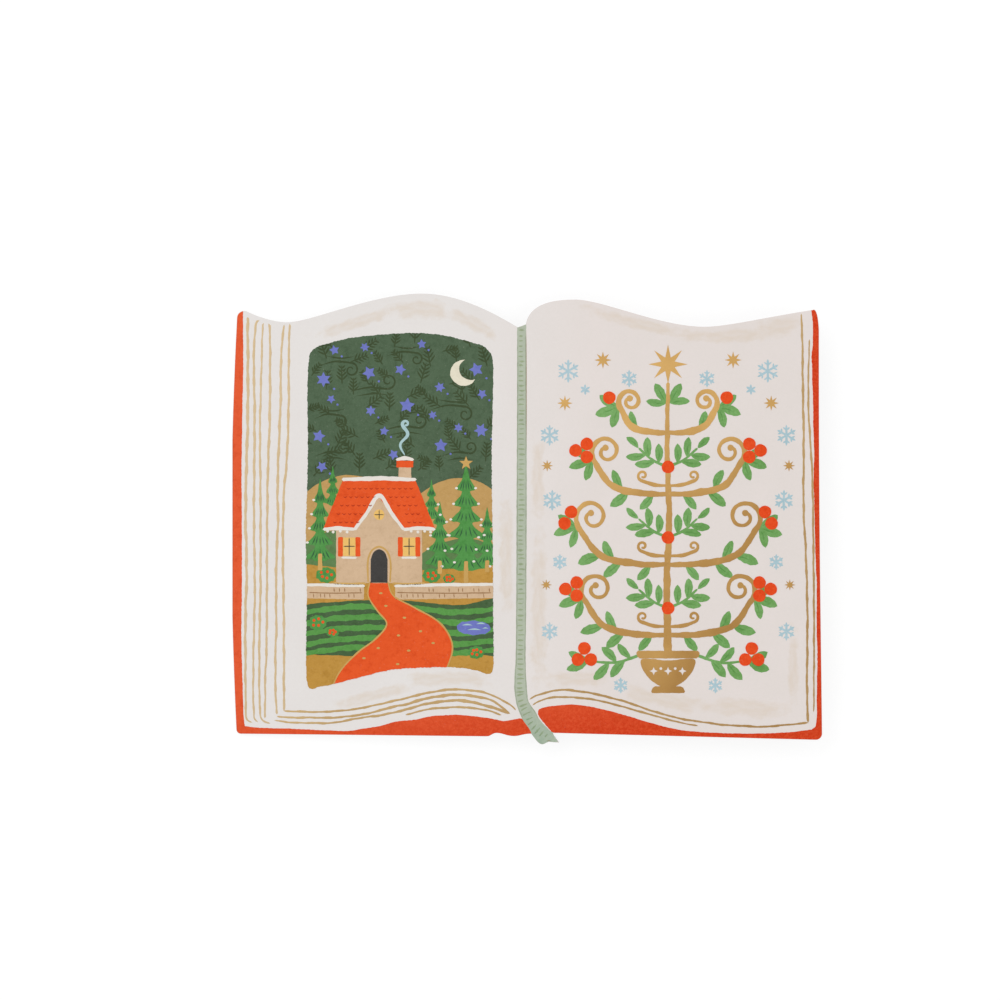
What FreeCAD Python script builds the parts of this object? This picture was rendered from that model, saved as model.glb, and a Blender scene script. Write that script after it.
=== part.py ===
import FreeCAD, Part
import math
import os

import Sketcher

# A folded greeting card, cut to the outline of an open book, lying closed on its back leaf.
# One sheet of card stock is folded once, at its left side, and both leaves are die cut together.
# Millimetres and degrees. X runs from the fold to the free edge, Y towards the top of the picture
# and Z up. The origin is under the middle of the card, on the surface that it lies on.

# Driving sizes
# Outline places are measured from the fold line (x) and from the foot line (y), where the foot
# line passes through the lower right corner. Shares are parts of the run between two places.
SIZES = {
    # the sheet and its fold
    "card_width": 139.7,
    "stock_thickness": 0.36,
    "fold_radius": 0.2,
    "slope_at_fold": 4.5,
    "slope_at_free_edge": 1.0,
    # left side, bowed out just past the fold line
    "left_shoulder_inset": 1.1,
    "left_shoulder_height": 99.9,
    "left_heel_inset": 0.95,
    "left_heel_height": 2.4,
    "side_bow": 0.24,
    "left_tip_radius": 1.7,
    "left_tip_slope": 27.0,
    "heel_radius": 1.1,
    # top edge of the left page
    "left_valley_place": 13.0,
    "left_valley_height": 98.9,
    "left_peak_place": 45.0,
    "left_peak_height": 105.65,
    "valley_share": 0.18,
    "peak_share": 0.37,
    "left_fall_share": 0.42,
    # top of the ribbon, between the pages
    "gutter_place": 67.7,
    "gutter_height": 97.65,
    "gutter_slope": 30.0,
    "ribbon_top_width": 1.9,
    "ribbon_top_rise": 0.7,
    # top edge of the right page
    "right_peak_place": 81.3,
    "right_peak_height": 104.2,
    "right_rise_slope": 80.0,
    "right_rise_reach": 5.4,
    "right_valley_place": 111.8,
    "right_valley_height": 97.75,
    "right_fall_share": 0.21,
    "right_valley_share": 0.34,
    "right_tip_inset": 2.3,
    "right_tip_height": 101.7,
    "tip_lift": 0.7,
    # right side
    "right_shoulder_inset": 0.75,
    "right_shoulder_drop": 4.8,
    "right_corner_radius": 1.5,
    # ribbon tail, below the foot line
    "tail_drop": 1.1,
    "tail_start_place": 70.9,
    "tail_start_height": 1.4,
    "tail_end_width": 5.05,
    "tail_end_height": 1.6,
    "tail_low_reach": 2.6,
    "tail_notch_reach": 4.2,
    "tail_notch_depth": 0.62,
    "tail_tip_reach": 6.6,
    "tail_tip_depth": 0.36,
    # bottom edge under the gutter: a shallow bump and a notch
    "bump_place": 66.8,
    "bump_height": 0.83,
    "notch_place": 62.7,
    "notch_height": 1.56,
    "left_foot_end_place": 60.3,
    "left_foot_end_height": 0.76,
    "left_foot_height": 1.3,
    # waste that the die takes off all round
    "die_waste": 6.0,
}

NODE = "folded_card"
TOP_HEIGHT = "max(Sizes.left_peak_height; Sizes.right_peak_height)"

# A curve's handle on a quarter circle, as a share of the radius
QUARTER_HANDLE = 0.5523

# How much each end, and both inner poles together, count for at the middle of a cubic curve
END_WEIGHT = 0.125
INNER_WEIGHT = 0.75

# How far a curve's inner pole stands from its end, as a share of the run
SHORT = 0.35
LONG = 0.45
HALF = 0.5

# Where the poles of the raised tip stand, as shares of the way from the tip to the right shoulder
TIP_CROWN_SHARE = 0.64
TIP_SIDE_SHARE = 0.92
TIP_FALL_SHARE = 0.4

# How far the cut card's volume may be from two flat leaves, for the fold and the sprung leaf
LEAF_TOLERANCE = 0.02


def fill_sheet(doc):
    """Writes every driving size into its own named cell."""
    sheet = doc.addObject("Spreadsheet::Sheet", "Sizes")
    for row, (name, value) in enumerate(SIZES.items(), start=1):
        sheet.set(f"A{row}", name.replace("_", " "))
        sheet.set(f"B{row}", str(value))
        sheet.setAlias(f"B{row}", name)
    doc.recompute()
    return sheet


def add_sketch(body, name, plane_role):
    """Makes a sketch on one of the body's own origin planes."""
    plane = next(item for item in body.Origin.OriginFeatures if item.Role == plane_role)
    sketch = body.newObject("Sketcher::SketchObject", name)
    sketch.AttachmentSupport = [(plane, "")]
    sketch.MapMode = "FlatFace"
    return sketch


def pin_points(sketch, pins):
    """Ties points of the sketch to pairs of expressions, measured from the sketch's origin."""
    places = []
    for geometry, point, across, up in pins:
        places.append((Sketcher.Constraint("DistanceX", -1, 1, geometry, point, 1.0), across))
        places.append((Sketcher.Constraint("DistanceY", -1, 1, geometry, point, 1.0), up))
    first = len(sketch.Constraints)
    sketch.addConstraint([constraint for constraint, expression in places])
    for index, (constraint, expression) in enumerate(places, start=first):
        sketch.setExpression(f"Constraints[{index}]", expression)


def rough_poles(first, count):
    """Gives a curve some distinct poles to start from, before the expressions place them."""
    return [FreeCAD.Vector(first + step, (first + step) ** 2, 0) for step in range(count)]


def draw_loop(sketch, stretches):
    """Draws a closed loop. Each stretch lists its start and, on a curve, the poles between its ends."""
    edges = []
    pins = []
    for number, stretch in enumerate(stretches):
        poles = rough_poles(number, len(stretch) + 1)
        if len(stretch) == 1:
            edge = sketch.addGeometry(Part.LineSegment(poles[0], poles[1]), False)
        else:
            curve = Part.BSplineCurve()
            degree = len(stretch)
            curve.buildFromPolesMultsKnots(poles, [degree + 1, degree + 1], [0, 1], False, degree)
            edge = sketch.addGeometry(curve, False)
            sketch.exposeInternalGeometry(edge)
            for step, (across, up) in enumerate(stretch[1:], start=1):
                pins.append((edge + 1 + step, 3, across, up))
        pins.append((edge, 1, *stretch[0]))
        edges.append(edge)
    following = edges[1:] + edges[:1]
    sketch.addConstraint([
        Sketcher.Constraint("Coincident", edge, 2, after, 1) for edge, after in zip(edges, following)])
    pin_points(sketch, pins)


def between(start, end, share):
    """Gives the expression for a place a share of the way from start to end."""
    return f"({start} + ({end} - {start}) * {share})"


def die_runs():
    """Lists the runs of the die cut, clockwise from the left shoulder, each with its strip of waste.

    A run holds its stretches of outline and the corners of the waste beyond it. Every run ends
    where the next one starts, and a straight cut runs out from there to the edge of the waste.
    """
    size = {name: f"Sizes.{name}" for name in SIZES}
    waste = size["die_waste"]
    left = f"(-{waste})"
    right = f"({size['card_width']} + 2 * {waste})"
    low = f"(-{size['tail_drop']} - {waste})"
    high = f"({TOP_HEIGHT} + {waste})"

    # left side and the two rounded corners at its ends
    shoulder_x = size["left_shoulder_inset"]
    shoulder_y = size["left_shoulder_height"]
    heel_x = size["left_heel_inset"]
    heel_y = size["left_heel_height"]
    bow_x = f"-({size['side_bow']} + ({shoulder_x} + {heel_x}) * {END_WEIGHT}) / {INNER_WEIGHT}"
    tip_r = size["left_tip_radius"]
    tip_slope = size["left_tip_slope"]
    brow_x = f"({shoulder_x} + {tip_r} * (1 + sin({tip_slope})))"
    brow_y = f"({shoulder_y} + {tip_r} * cos({tip_slope}))"
    # the handle of an arc is four thirds of its radius times the tangent of a quarter of its turn
    tip_handle = f"{tip_r} * 4 / 3 * tan((90 + {tip_slope}) / 4)"
    brow_pole_x = f"{brow_x} - {tip_handle} * cos({tip_slope})"
    brow_pole_y = f"{brow_y} + {tip_handle} * sin({tip_slope})"
    heel_r = size["heel_radius"]
    foot_y = size["left_foot_height"]

    # top edge of the left page
    valley_x = size["left_valley_place"]
    valley_y = size["left_valley_height"]
    peak_x = size["left_peak_place"]
    peak_y = size["left_peak_height"]
    gutter_x = size["gutter_place"]
    gutter_y = size["gutter_height"]
    gutter_run = f"({gutter_x} - {peak_x}) * {size['valley_share']}"

    # top edge of the right page
    rise_x = f"({gutter_x} + {size['ribbon_top_width']})"
    rise_y = f"({gutter_y} + {size['ribbon_top_rise']})"
    rise_reach = size["right_rise_reach"]
    rise_slope = size["right_rise_slope"]
    rise_pole_x = f"{rise_x} + {rise_reach} * cos({rise_slope})"
    rise_pole_y = f"{rise_y} + {rise_reach} * sin({rise_slope})"
    crest_x = size["right_peak_place"]
    crest_y = size["right_peak_height"]
    dip_x = size["right_valley_place"]
    dip_y = size["right_valley_height"]
    tip_x = f"({size['card_width']} - {size['right_tip_inset']})"
    tip_y = size["right_tip_height"]

    # right side
    side_x = f"({size['card_width']} - {size['right_shoulder_inset']})"
    side_y = f"({tip_y} - {size['right_shoulder_drop']})"
    corner_r = size["right_corner_radius"]
    corner_rest = f"{corner_r} * (1 - {QUARTER_HANDLE})"
    toe_x = f"({size['card_width']} - {corner_r})"

    # ribbon tail
    tail_x = size["tail_start_place"]
    tail_y = size["tail_start_height"]
    tail_end_x = f"({tail_x} + {size['tail_end_width']})"
    tail_end_y = size["tail_end_height"]
    low_x = f"({tail_x} + {size['tail_low_reach']})"
    low_y = f"(-{size['tail_drop']})"
    cleft_x = f"({tail_x} + {size['tail_notch_reach']})"
    cleft_y = f"({size['tail_notch_depth']} - {size['tail_drop']})"
    point_x = f"({tail_x} + {size['tail_tip_reach']})"
    point_y = f"({size['tail_tip_depth']} - {size['tail_drop']})"

    # bottom edge under the gutter
    bump_x = size["bump_place"]
    bump_y = size["bump_height"]
    notch_x = size["notch_place"]
    notch_y = size["notch_height"]
    rest_x = size["left_foot_end_place"]
    rest_y = size["left_foot_end_height"]

    left_page_top = [
        # rounded upper left tip
        [
            (shoulder_x, shoulder_y),
            (shoulder_x, f"{shoulder_y} + {tip_handle}"),
            (brow_pole_x, brow_pole_y),
        ],
        # down to the valley, up to the peak, down to the gutter
        [
            (brow_x, brow_y),
            (
                between(brow_x, valley_x, size["valley_share"]),
                f"{brow_y} - ({valley_x} - {brow_x}) * {size['valley_share']} * tan({tip_slope})",
            ),
            (between(valley_x, brow_x, size["peak_share"]), valley_y),
        ],
        [
            (valley_x, valley_y),
            (between(valley_x, peak_x, size["valley_share"]), valley_y),
            (between(peak_x, valley_x, size["peak_share"]), peak_y),
        ],
        [
            (peak_x, peak_y),
            (between(peak_x, gutter_x, size["left_fall_share"]), peak_y),
            (f"{gutter_x} - {gutter_run}", f"{gutter_y} + {gutter_run} * tan({size['gutter_slope']})"),
        ],
    ]
    right_page_top = [
        # slanted top end of the ribbon
        [(gutter_x, gutter_y)],
        # up to the peak, down to the valley, up to the tip
        [
            (rise_x, rise_y),
            (rise_pole_x, rise_pole_y),
            (between(crest_x, rise_x, size["peak_share"]), crest_y),
        ],
        [
            (crest_x, crest_y),
            (between(crest_x, dip_x, size["right_fall_share"]), crest_y),
            (between(dip_x, crest_x, size["right_valley_share"]), dip_y),
        ],
        [
            (dip_x, dip_y),
            (between(dip_x, tip_x, size["right_fall_share"]), dip_y),
            (between(tip_x, dip_x, LONG), between(tip_y, dip_y, LONG)),
        ],
        # raised tip
        [
            (tip_x, tip_y),
            (between(tip_x, side_x, TIP_CROWN_SHARE), f"{tip_y} + {size['tip_lift']}"),
            (between(tip_x, side_x, TIP_SIDE_SHARE), between(tip_y, side_y, TIP_FALL_SHARE)),
        ],
    ]
    right_side = [
        [
            (side_x, side_y),
            (side_x, between(side_y, corner_r, HALF)),
            (between(side_x, size["card_width"], HALF), between(corner_r, side_y, SHORT)),
        ],
        # rounded lower right corner
        [
            (size["card_width"], corner_r),
            (size["card_width"], corner_rest),
            (f"{size['card_width']} - {corner_rest}", "0"),
        ],
    ]
    ribbon_tail = [
        # straight foot of the right page
        [(toe_x, "0")],
        # right edge of the tail, its slanted end, the cleft, the round lobe and the left edge
        [
            (tail_end_x, tail_end_y),
            (between(tail_end_x, point_x, SHORT), between(tail_end_y, point_y, LONG)),
        ],
        [(point_x, point_y)],
        [
            (cleft_x, cleft_y),
            (between(cleft_x, low_x, HALF), between(cleft_y, low_y, SHORT)),
            (between(low_x, cleft_x, SHORT), low_y),
        ],
        [
            (low_x, low_y),
            (between(low_x, tail_x, SHORT), low_y),
            (between(tail_x, low_x, SHORT), between(tail_y, low_y, HALF)),
        ],
    ]
    left_foot = [
        # bump and notch under the gutter
        [
            (tail_x, tail_y),
            (between(tail_x, bump_x, LONG), tail_y),
            (between(bump_x, tail_x, SHORT), bump_y),
        ],
        [
            (bump_x, bump_y),
            (between(bump_x, notch_x, LONG), bump_y),
            (between(notch_x, bump_x, SHORT), notch_y),
        ],
        [
            (notch_x, notch_y),
            (between(notch_x, rest_x, LONG), notch_y),
            (between(rest_x, notch_x, LONG), rest_y),
        ],
        # straight foot of the left page and the rounded lower left corner
        [(rest_x, rest_y)],
        [
            (f"{heel_x} + {heel_r}", foot_y),
            (f"{heel_x} + {heel_r} * (1 - {QUARTER_HANDLE})", foot_y),
            (heel_x, between(foot_y, heel_y, 1 - QUARTER_HANDLE)),
        ],
    ]
    left_side = [
        # bowed past the fold line at its middle
        [
            (heel_x, heel_y),
            (bow_x, between(heel_y, shoulder_y, SHORT)),
            (bow_x, between(shoulder_y, heel_y, SHORT)),
        ],
    ]

    runs = [
        ("LeftPageTop", left_page_top, (left, shoulder_y), [(left, high)]),
        ("RightPageTop", right_page_top, (gutter_x, high), [(right, high)]),
        ("RightSide", right_side, (right, side_y), [(right, low)]),
        ("RibbonTail", ribbon_tail, (toe_x, low), []),
        ("LeftFoot", left_foot, (tail_x, low), [(left, low)]),
        ("LeftSide", left_side, (left, heel_y), []),
    ]
    loops = {}
    for (name, stretches, way_in, corners), after in zip(runs, runs[1:] + runs[:1]):
        run_end = after[1][0][0]
        waste_edge = [run_end, after[2], *corners, way_in]
        loops[name] = stretches + [[place] for place in waste_edge]
    return loops


def polar(centre, radius, angle):
    """Gives the point at a distance and an angle in radians from a centre."""
    return centre + FreeCAD.Vector(radius * math.cos(angle), radius * math.sin(angle), 0)


def arc(centre, radius, start, end):
    """Makes an arc that runs anticlockwise between two angles in radians."""
    circle = Part.Circle(centre, FreeCAD.Vector(0, 0, 1), radius)
    return Part.ArcOfCircle(circle, start, end)


def draw_section(sketch):
    """Draws the folded sheet seen from its lower side: flat back leaf, round fold, sprung front leaf."""
    thickness = SIZES["stock_thickness"]
    inner = SIZES["fold_radius"]
    outer = inner + thickness
    reach = SIZES["card_width"] + SIZES["die_waste"]
    at_fold = math.radians(90 + SIZES["slope_at_fold"])
    at_edge = math.radians(90 + SIZES["slope_at_free_edge"])
    under = reach / (at_fold - at_edge)
    fold_centre = FreeCAD.Vector(outer, outer, 0)
    leaf_centre = polar(fold_centre, inner - under, at_fold)

    back_under = sketch.addGeometry(Part.LineSegment(
        FreeCAD.Vector(outer, 0, 0), FreeCAD.Vector(reach, 0, 0)), False)
    back_end = sketch.addGeometry(Part.LineSegment(
        FreeCAD.Vector(reach, 0, 0), FreeCAD.Vector(reach, thickness, 0)), False)
    back_top = sketch.addGeometry(Part.LineSegment(
        FreeCAD.Vector(reach, thickness, 0), FreeCAD.Vector(outer, thickness, 0)), False)
    fold_inside = sketch.addGeometry(arc(fold_centre, inner, at_fold, math.radians(270)), False)
    front_under = sketch.addGeometry(arc(leaf_centre, under, at_edge, at_fold), False)
    front_end = sketch.addGeometry(Part.LineSegment(
        polar(leaf_centre, under, at_edge), polar(leaf_centre, under + thickness, at_edge)), False)
    front_top = sketch.addGeometry(arc(leaf_centre, under + thickness, at_edge, at_fold), False)
    fold_outside = sketch.addGeometry(arc(fold_centre, outer, at_fold, math.radians(270)), False)
    fold_spoke = sketch.addGeometry(Part.LineSegment(
        leaf_centre, polar(leaf_centre, under, at_fold)), True)

    ties = [
        ("Horizontal", back_under),
        ("PointOnObject", back_under, 1, -1),
        ("Coincident", back_under, 2, back_end, 1),
        ("Vertical", back_end),
        ("Coincident", back_end, 2, back_top, 1),
        ("Horizontal", back_top),
        ("Tangent", back_top, 2, fold_inside, 2),
        ("Tangent", fold_inside, 1, front_under, 2),
        ("Coincident", front_under, 1, front_end, 1),
        ("Coincident", front_end, 2, front_top, 1),
        ("Tangent", front_top, 2, fold_outside, 1),
        ("Tangent", fold_outside, 2, back_under, 1),
        ("Coincident", fold_inside, 3, fold_outside, 3),
        ("Tangent", fold_outside, -2),
        ("Coincident", fold_spoke, 1, front_under, 3),
        ("Coincident", fold_spoke, 2, front_under, 2),
        ("PointOnObject", front_under, 3, front_end),
    ]
    for tie in ties:
        sketch.addConstraint(Sketcher.Constraint(*tie))

    reach_expression = "(Sizes.card_width + Sizes.die_waste)"
    opening_expression = "(Sizes.slope_at_fold - Sizes.slope_at_free_edge)"
    driven = [
        (("DistanceX", -1, 1, back_end, 1, reach), reach_expression),
        (("DistanceY", back_end, 1, back_end, 2, thickness), "Sizes.stock_thickness"),
        (("Radius", fold_inside, inner), "Sizes.fold_radius"),
        (("Radius", front_under, under), f"{reach_expression} / {opening_expression} * 180 / pi"),
        (("Angle", fold_spoke, at_fold), "(90 + Sizes.slope_at_fold) * 1 deg"),
        (("Angle", front_end, at_edge), "(90 + Sizes.slope_at_free_edge) * 1 deg"),
    ]
    for constraint, expression in driven:
        index = sketch.addConstraint(Sketcher.Constraint(*constraint))
        sketch.setExpression(f"Constraints[{index}]", expression)


def build_card(doc):
    """Builds the card as a folded blank that the die then trims to its outline."""
    body = doc.addObject("PartDesign::Body", "FoldedCard")
    body.Label = NODE

    section = add_sketch(body, "FoldedSection", "XZ_Plane")
    draw_section(section)
    doc.recompute()
    blank = body.newObject("PartDesign::Pad", "FoldedBlank")
    blank.Profile = section
    blank.SideType = "Two sides"
    blank.setExpression("Length", "Sizes.tail_drop + Sizes.die_waste / 2")
    blank.setExpression("Length2", f"{TOP_HEIGHT} + Sizes.die_waste / 2")
    doc.recompute()

    # the die trims both leaves at once, one strip of waste after another
    waste_area = 0
    before = blank
    for name, loop in die_runs().items():
        strip = add_sketch(body, f"{name}Waste", "XY_Plane")
        draw_loop(strip, loop)
        doc.recompute()
        cut = body.newObject("PartDesign::Pocket", f"{name}Cut")
        cut.Profile = strip
        cut.Type = "ThroughAll"
        cut.Reversed = True
        doc.recompute()
        if cut.Shape.Volume >= before.Shape.Volume:
            raise RuntimeError(f"{name}Cut takes nothing off")
        waste_area += Part.Face(strip.Shape.Wires[0]).Area
        before = cut
    check_trim(before, waste_area)

    body.setExpression("Placement.Base.x", "-Sizes.card_width / 2")
    body.setExpression("Placement.Base.y", f"(Sizes.tail_drop - {TOP_HEIGHT}) / 2")
    doc.recompute()
    return body


def check_trim(trimmed, waste_area):
    """Makes sure that the die left both leaves whole inside the outline, and nothing else."""
    waste = SIZES["die_waste"]
    height = max(SIZES["left_peak_height"], SIZES["right_peak_height"]) + SIZES["tail_drop"]
    sheet_area = (SIZES["card_width"] + 3 * waste) * (height + 2 * waste)
    leaf_area = sheet_area - waste_area
    expected = 2 * leaf_area * SIZES["stock_thickness"]
    volume = trimmed.Shape.Volume
    if abs(volume / expected - 1) > LEAF_TOLERANCE:
        raise RuntimeError(f"the die cut left {volume:.1f} mm3 where two leaves hold {expected:.1f}")
    print(f"leaf {leaf_area:.1f} mm2, card {volume:.1f} mm3, two flat leaves {expected:.1f} mm3")


def check_objects(doc):
    """Stops if anything in the document failed to build."""
    for item in doc.Objects:
        if any(word in ("Invalid", "Error") for word in item.State):
            raise RuntimeError(f"{item.Name} failed: {item.State}")


def write_node(body):
    """Writes the card to its own STEP file once its shape has proved sound."""
    shape = body.Shape
    if shape.isNull() or not shape.isValid() or len(shape.Solids) != 1:
        raise RuntimeError(f"{body.Label} is not one valid solid")
    shape.exportStep(f"parts/{body.Label}.step")
    box = shape.BoundBox
    print(f"{body.Label}: x {box.XMin:.3f} to {box.XMax:.3f}, y {box.YMin:.3f} to {box.YMax:.3f}, "
          f"z {box.ZMin:.3f} to {box.ZMax:.3f}")


os.makedirs("parts", exist_ok=True)
document = FreeCAD.newDocument("GreetingCard")
fill_sheet(document)
card = build_card(document)
check_objects(document)
write_node(card)
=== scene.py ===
import math
import random

import bpy
import numpy as np
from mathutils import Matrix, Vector
from mathutils.geometry import delaunay_2d_cdt


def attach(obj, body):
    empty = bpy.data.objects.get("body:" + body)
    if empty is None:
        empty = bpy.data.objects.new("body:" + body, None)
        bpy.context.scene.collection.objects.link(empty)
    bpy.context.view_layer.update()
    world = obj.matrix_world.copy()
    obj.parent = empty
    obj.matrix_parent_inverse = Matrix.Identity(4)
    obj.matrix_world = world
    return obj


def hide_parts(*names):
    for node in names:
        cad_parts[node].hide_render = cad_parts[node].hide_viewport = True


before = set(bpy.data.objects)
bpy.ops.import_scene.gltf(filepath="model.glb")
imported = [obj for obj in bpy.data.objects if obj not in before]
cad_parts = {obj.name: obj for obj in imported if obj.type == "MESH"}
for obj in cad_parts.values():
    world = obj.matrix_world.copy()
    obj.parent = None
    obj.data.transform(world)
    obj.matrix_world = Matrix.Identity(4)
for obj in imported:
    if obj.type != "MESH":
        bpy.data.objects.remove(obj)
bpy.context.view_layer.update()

# Folded sheet
# One piece of heavy uncoated card, folded at its left side and die cut through both leaves at once
# to the outline of an open book. It lies on its back leaf and the front leaf springs up a little.

MM = 0.001
FOLD_X = -69.29
FOLD_Z = 0.56
FOLD_INNER = 0.2
FOLD_OUTER = 0.56
FOLD_EDGE_X = FOLD_X - FOLD_OUTER
FOLD_HOLLOW_X = FOLD_X - FOLD_INNER
STOCK = 0.36
PRINT_DEPTH = 0.02
LEAF_START = math.radians(94.5)
LEAF_ARC = 145.7
LEAF_TURN = math.radians(3.5)
LEAF_RADIUS = LEAF_ARC / LEAF_TURN
LEAF_CENTRE_X = FOLD_X + (FOLD_INNER - LEAF_RADIUS) * math.cos(LEAF_START)
LEAF_CENTRE_Z = FOLD_Z + (FOLD_INNER - LEAF_RADIUS) * math.sin(LEAF_START)
EDGE_ROUND = 0.09
EDGE_DROP = 0.05
CURVE_STEP = 0.3
STRAIGHT_STEP = 1.5
SHEET_GRID = 2.2
SHARP_ANGLE = 20

# each stretch of the die starts at its first point and bends towards the ones after it
DIE_LINE = [
    [(-68.75, 47.625), (-68.75, 48.894), (-67.409, 49.716)],
    [(-66.278, 49.14), (-64.581, 48.275), (-60.338, 46.625)],
    [(-56.85, 46.625), (-51.09, 46.625), (-36.69, 53.375)],
    [(-24.85, 53.375), (-15.316, 53.375), (-6.236, 47.734)],
    [(-2.15, 45.375)],
    [(-0.25, 46.075), (0.688, 51.393), (7.121, 51.925)],
    [(11.45, 51.925), (17.855, 51.925), (31.58, 45.475)],
    [(41.95, 45.475), (47.326, 45.475), (56.03, 47.647)],
    [(67.55, 49.425), (68.542, 50.125), (68.976, 47.505)],
    [(69.1, 44.625), (69.1, -3.075), (69.475, -17.385)],
    [(69.85, -50.775), (69.85, -51.603), (69.178, -52.275)],
    [(68.35, -52.275)],
    [(6.1, -50.675), (6.643, -51.728)],
    [(7.65, -53.015)],
    [(5.25, -52.755), (4.45, -52.972), (4.21, -53.375)],
    [(3.65, -53.375), (2.74, -53.375), (1.96, -52.125)],
    [(1.05, -50.875), (-0.795, -50.875), (-1.615, -51.445)],
    [(-3.05, -51.445), (-4.895, -51.445), (-5.715, -50.715)],
    [(-7.15, -50.715), (-8.23, -50.715), (-8.47, -51.515)],
    [(-9.55, -51.515)],
    [(-67.8, -50.975), (-68.408, -50.975), (-68.9, -50.483)],
    [(-68.9, -49.875), (-70.512, -15.75), (-70.512, 13.5)],
]


def bend(poles):
    """Walks a Bezier curve of any degree in short steps, and leaves out its last point."""
    poles = np.array(poles, float)
    length = np.linalg.norm(np.diff(poles, axis=0), axis=1).sum()
    count = max(3, round(length / CURVE_STEP)) if len(poles) > 2 else max(1, round(length / STRAIGHT_STEP))
    share = np.arange(count)[:, None] / count
    degree = len(poles) - 1
    points = np.zeros((count, 2))
    for rank, pole in enumerate(poles):
        points += math.comb(degree, rank) * share ** rank * (1 - share) ** (degree - rank) * pole
    return points


def die_outline():
    """Gives the cut outline of both leaves, no further left than the fold."""
    ends = [stretch[0] for stretch in DIE_LINE[1:] + DIE_LINE[:1]]
    points = np.vstack([bend(stretch + [end]) for stretch, end in zip(DIE_LINE, ends)])
    points[:, 0] = np.maximum(points[:, 0], FOLD_EDGE_X)
    return points


def front_face(x, fold_radius, leaf_radius):
    """Height of a face of the front leaf, which bends round the fold and then rises to the right."""
    x = np.asarray(x, float)
    arc = leaf_radius ** 2 - (x - LEAF_CENTRE_X) ** 2
    fold = fold_radius ** 2 - (np.minimum(x, FOLD_X) - FOLD_X) ** 2
    start = FOLD_X + fold_radius * math.cos(LEAF_START)
    return np.where(x > start, LEAF_CENTRE_Z + np.sqrt(arc), FOLD_Z + np.sqrt(np.maximum(fold, 0)))


def leaf_top(x):
    """Height of the front leaf's printed face, which lies a little low to leave room for the ink."""
    return front_face(x, FOLD_OUTER, LEAF_RADIUS + STOCK) - PRINT_DEPTH * np.clip((x - FOLD_X) / 2, 0, 1)


def back_face(x, radius):
    """Height of a face of the back leaf: the outer one lies flat, the inner one is the stock above."""
    x = np.minimum(np.asarray(x, float), FOLD_X)
    return FOLD_Z - np.sqrt(np.maximum(radius ** 2 - (x - FOLD_X) ** 2, 0))


def fold_lines(low, high, more=()):
    """Gives lines along the fold, close enough together to bend round it."""
    turns = [math.radians(angle) for angle in range(174, 90, -9)]
    places = [FOLD_X + FOLD_OUTER * math.cos(turn) for turn in turns] + [FOLD_X, FOLD_X + 0.5] + list(more)
    ys = np.arange(low - 1, high + 1, 1.5)
    return [np.stack([np.full(len(ys), x), ys], axis=1) for x in sorted(places)]


def on_leaf(spots, lift):
    """Places flat points on the front leaf, lifted square to its face, also where it bends at the fold."""
    x = spots[:, 0]
    lean = np.clip((x - FOLD_X) / FOLD_OUTER, -1, 0)
    return np.column_stack([x + lean * lift, spots[:, 1], leaf_top(x) + np.sqrt(1 - lean ** 2) * lift])


def within(points, loop):
    """Tells which points lie inside a closed loop, by how often the loop winds round them."""
    found = np.zeros(len(points), bool)
    low, high = loop.min(0), loop.max(0)
    near = np.flatnonzero(((points > low) & (points < high)).all(1))
    ahead = np.roll(loop, -1, 0)
    for part in np.array_split(near, max(1, len(near) * len(loop) // 4000000)):
        x, y = points[part, 0][:, None], points[part, 1][:, None]
        rise = (ahead[:, 1] > y).astype(int) - (loop[:, 1] > y).astype(int)
        climb = np.where(rise == 0, 1, ahead[:, 1] - loop[:, 1])
        crossing = loop[:, 0] + (y - loop[:, 1]) * (ahead[:, 0] - loop[:, 0]) / climb
        found[part] = (rise * (crossing > x)).sum(1) != 0
    return found


def sideways(points, closed=True):
    """Gives the unit direction to the left of a line at each of its points."""
    if closed:
        along = np.roll(points, -1, 0) - np.roll(points, 1, 0)
    else:
        along = np.gradient(points, axis=0)
    along /= np.maximum(np.linalg.norm(along, axis=1, keepdims=True), 1e-9)
    return np.stack([-along[:, 1], along[:, 0]], axis=1)


def grid_points(low, high, step):
    """Gives rows of points, every other row shifted by half a step."""
    rows = []
    for number, y in enumerate(np.arange(low[1], high[1], step * 0.87)):
        xs = np.arange(low[0] + (number % 2) * step / 2, high[0], step)
        rows.append(np.stack([xs, np.full(len(xs), y)], axis=1))
    return np.vstack(rows) if rows else np.zeros((0, 2))


def cut_to_triangles(loops, loose, lines):
    """Cuts the plane into triangles along some closed loops and open lines, through loose points."""
    points = []
    edges = []
    for line in list(loops) + list(lines):
        first = len(points)
        count = len(line)
        points.extend(line)
        closed = any(line is loop for loop in loops)
        edges.extend((first + i, first + (i + 1) % count) for i in range(count if closed else count - 1))
    points.extend(loose)
    corners = [Vector((float(x), float(y))) for x, y in points]
    placed, _, faces, _, _, _ = delaunay_2d_cdt(corners, edges, [], 0, 1e-5, False)
    return np.array([tuple(p) for p in placed]), np.array([tuple(f) for f in faces])


def rim_edges(faces):
    """Gives the edges that only one triangle uses, in that triangle's direction."""
    used = {}
    for a, b, c in faces:
        for pair in ((a, b), (b, c), (c, a)):
            used[tuple(sorted(pair))] = None if tuple(sorted(pair)) in used else pair
    return [pair for pair in used.values() if pair]


def clearance(points, line):
    """Gives how far each point is from the nearest point of a line."""
    return np.array([np.min(np.linalg.norm(line - p, axis=1)) for p in points])


def inset(outline, by, share):
    """Moves a closed line in by some way, and leaves out what then comes too near to it."""
    inner = outline + sideways(outline) * by
    if not within(inner[:1], outline)[0]:
        inner = outline - sideways(outline) * by
    return inner[within(inner, outline) & (clearance(inner, outline) > by * share)]


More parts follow.
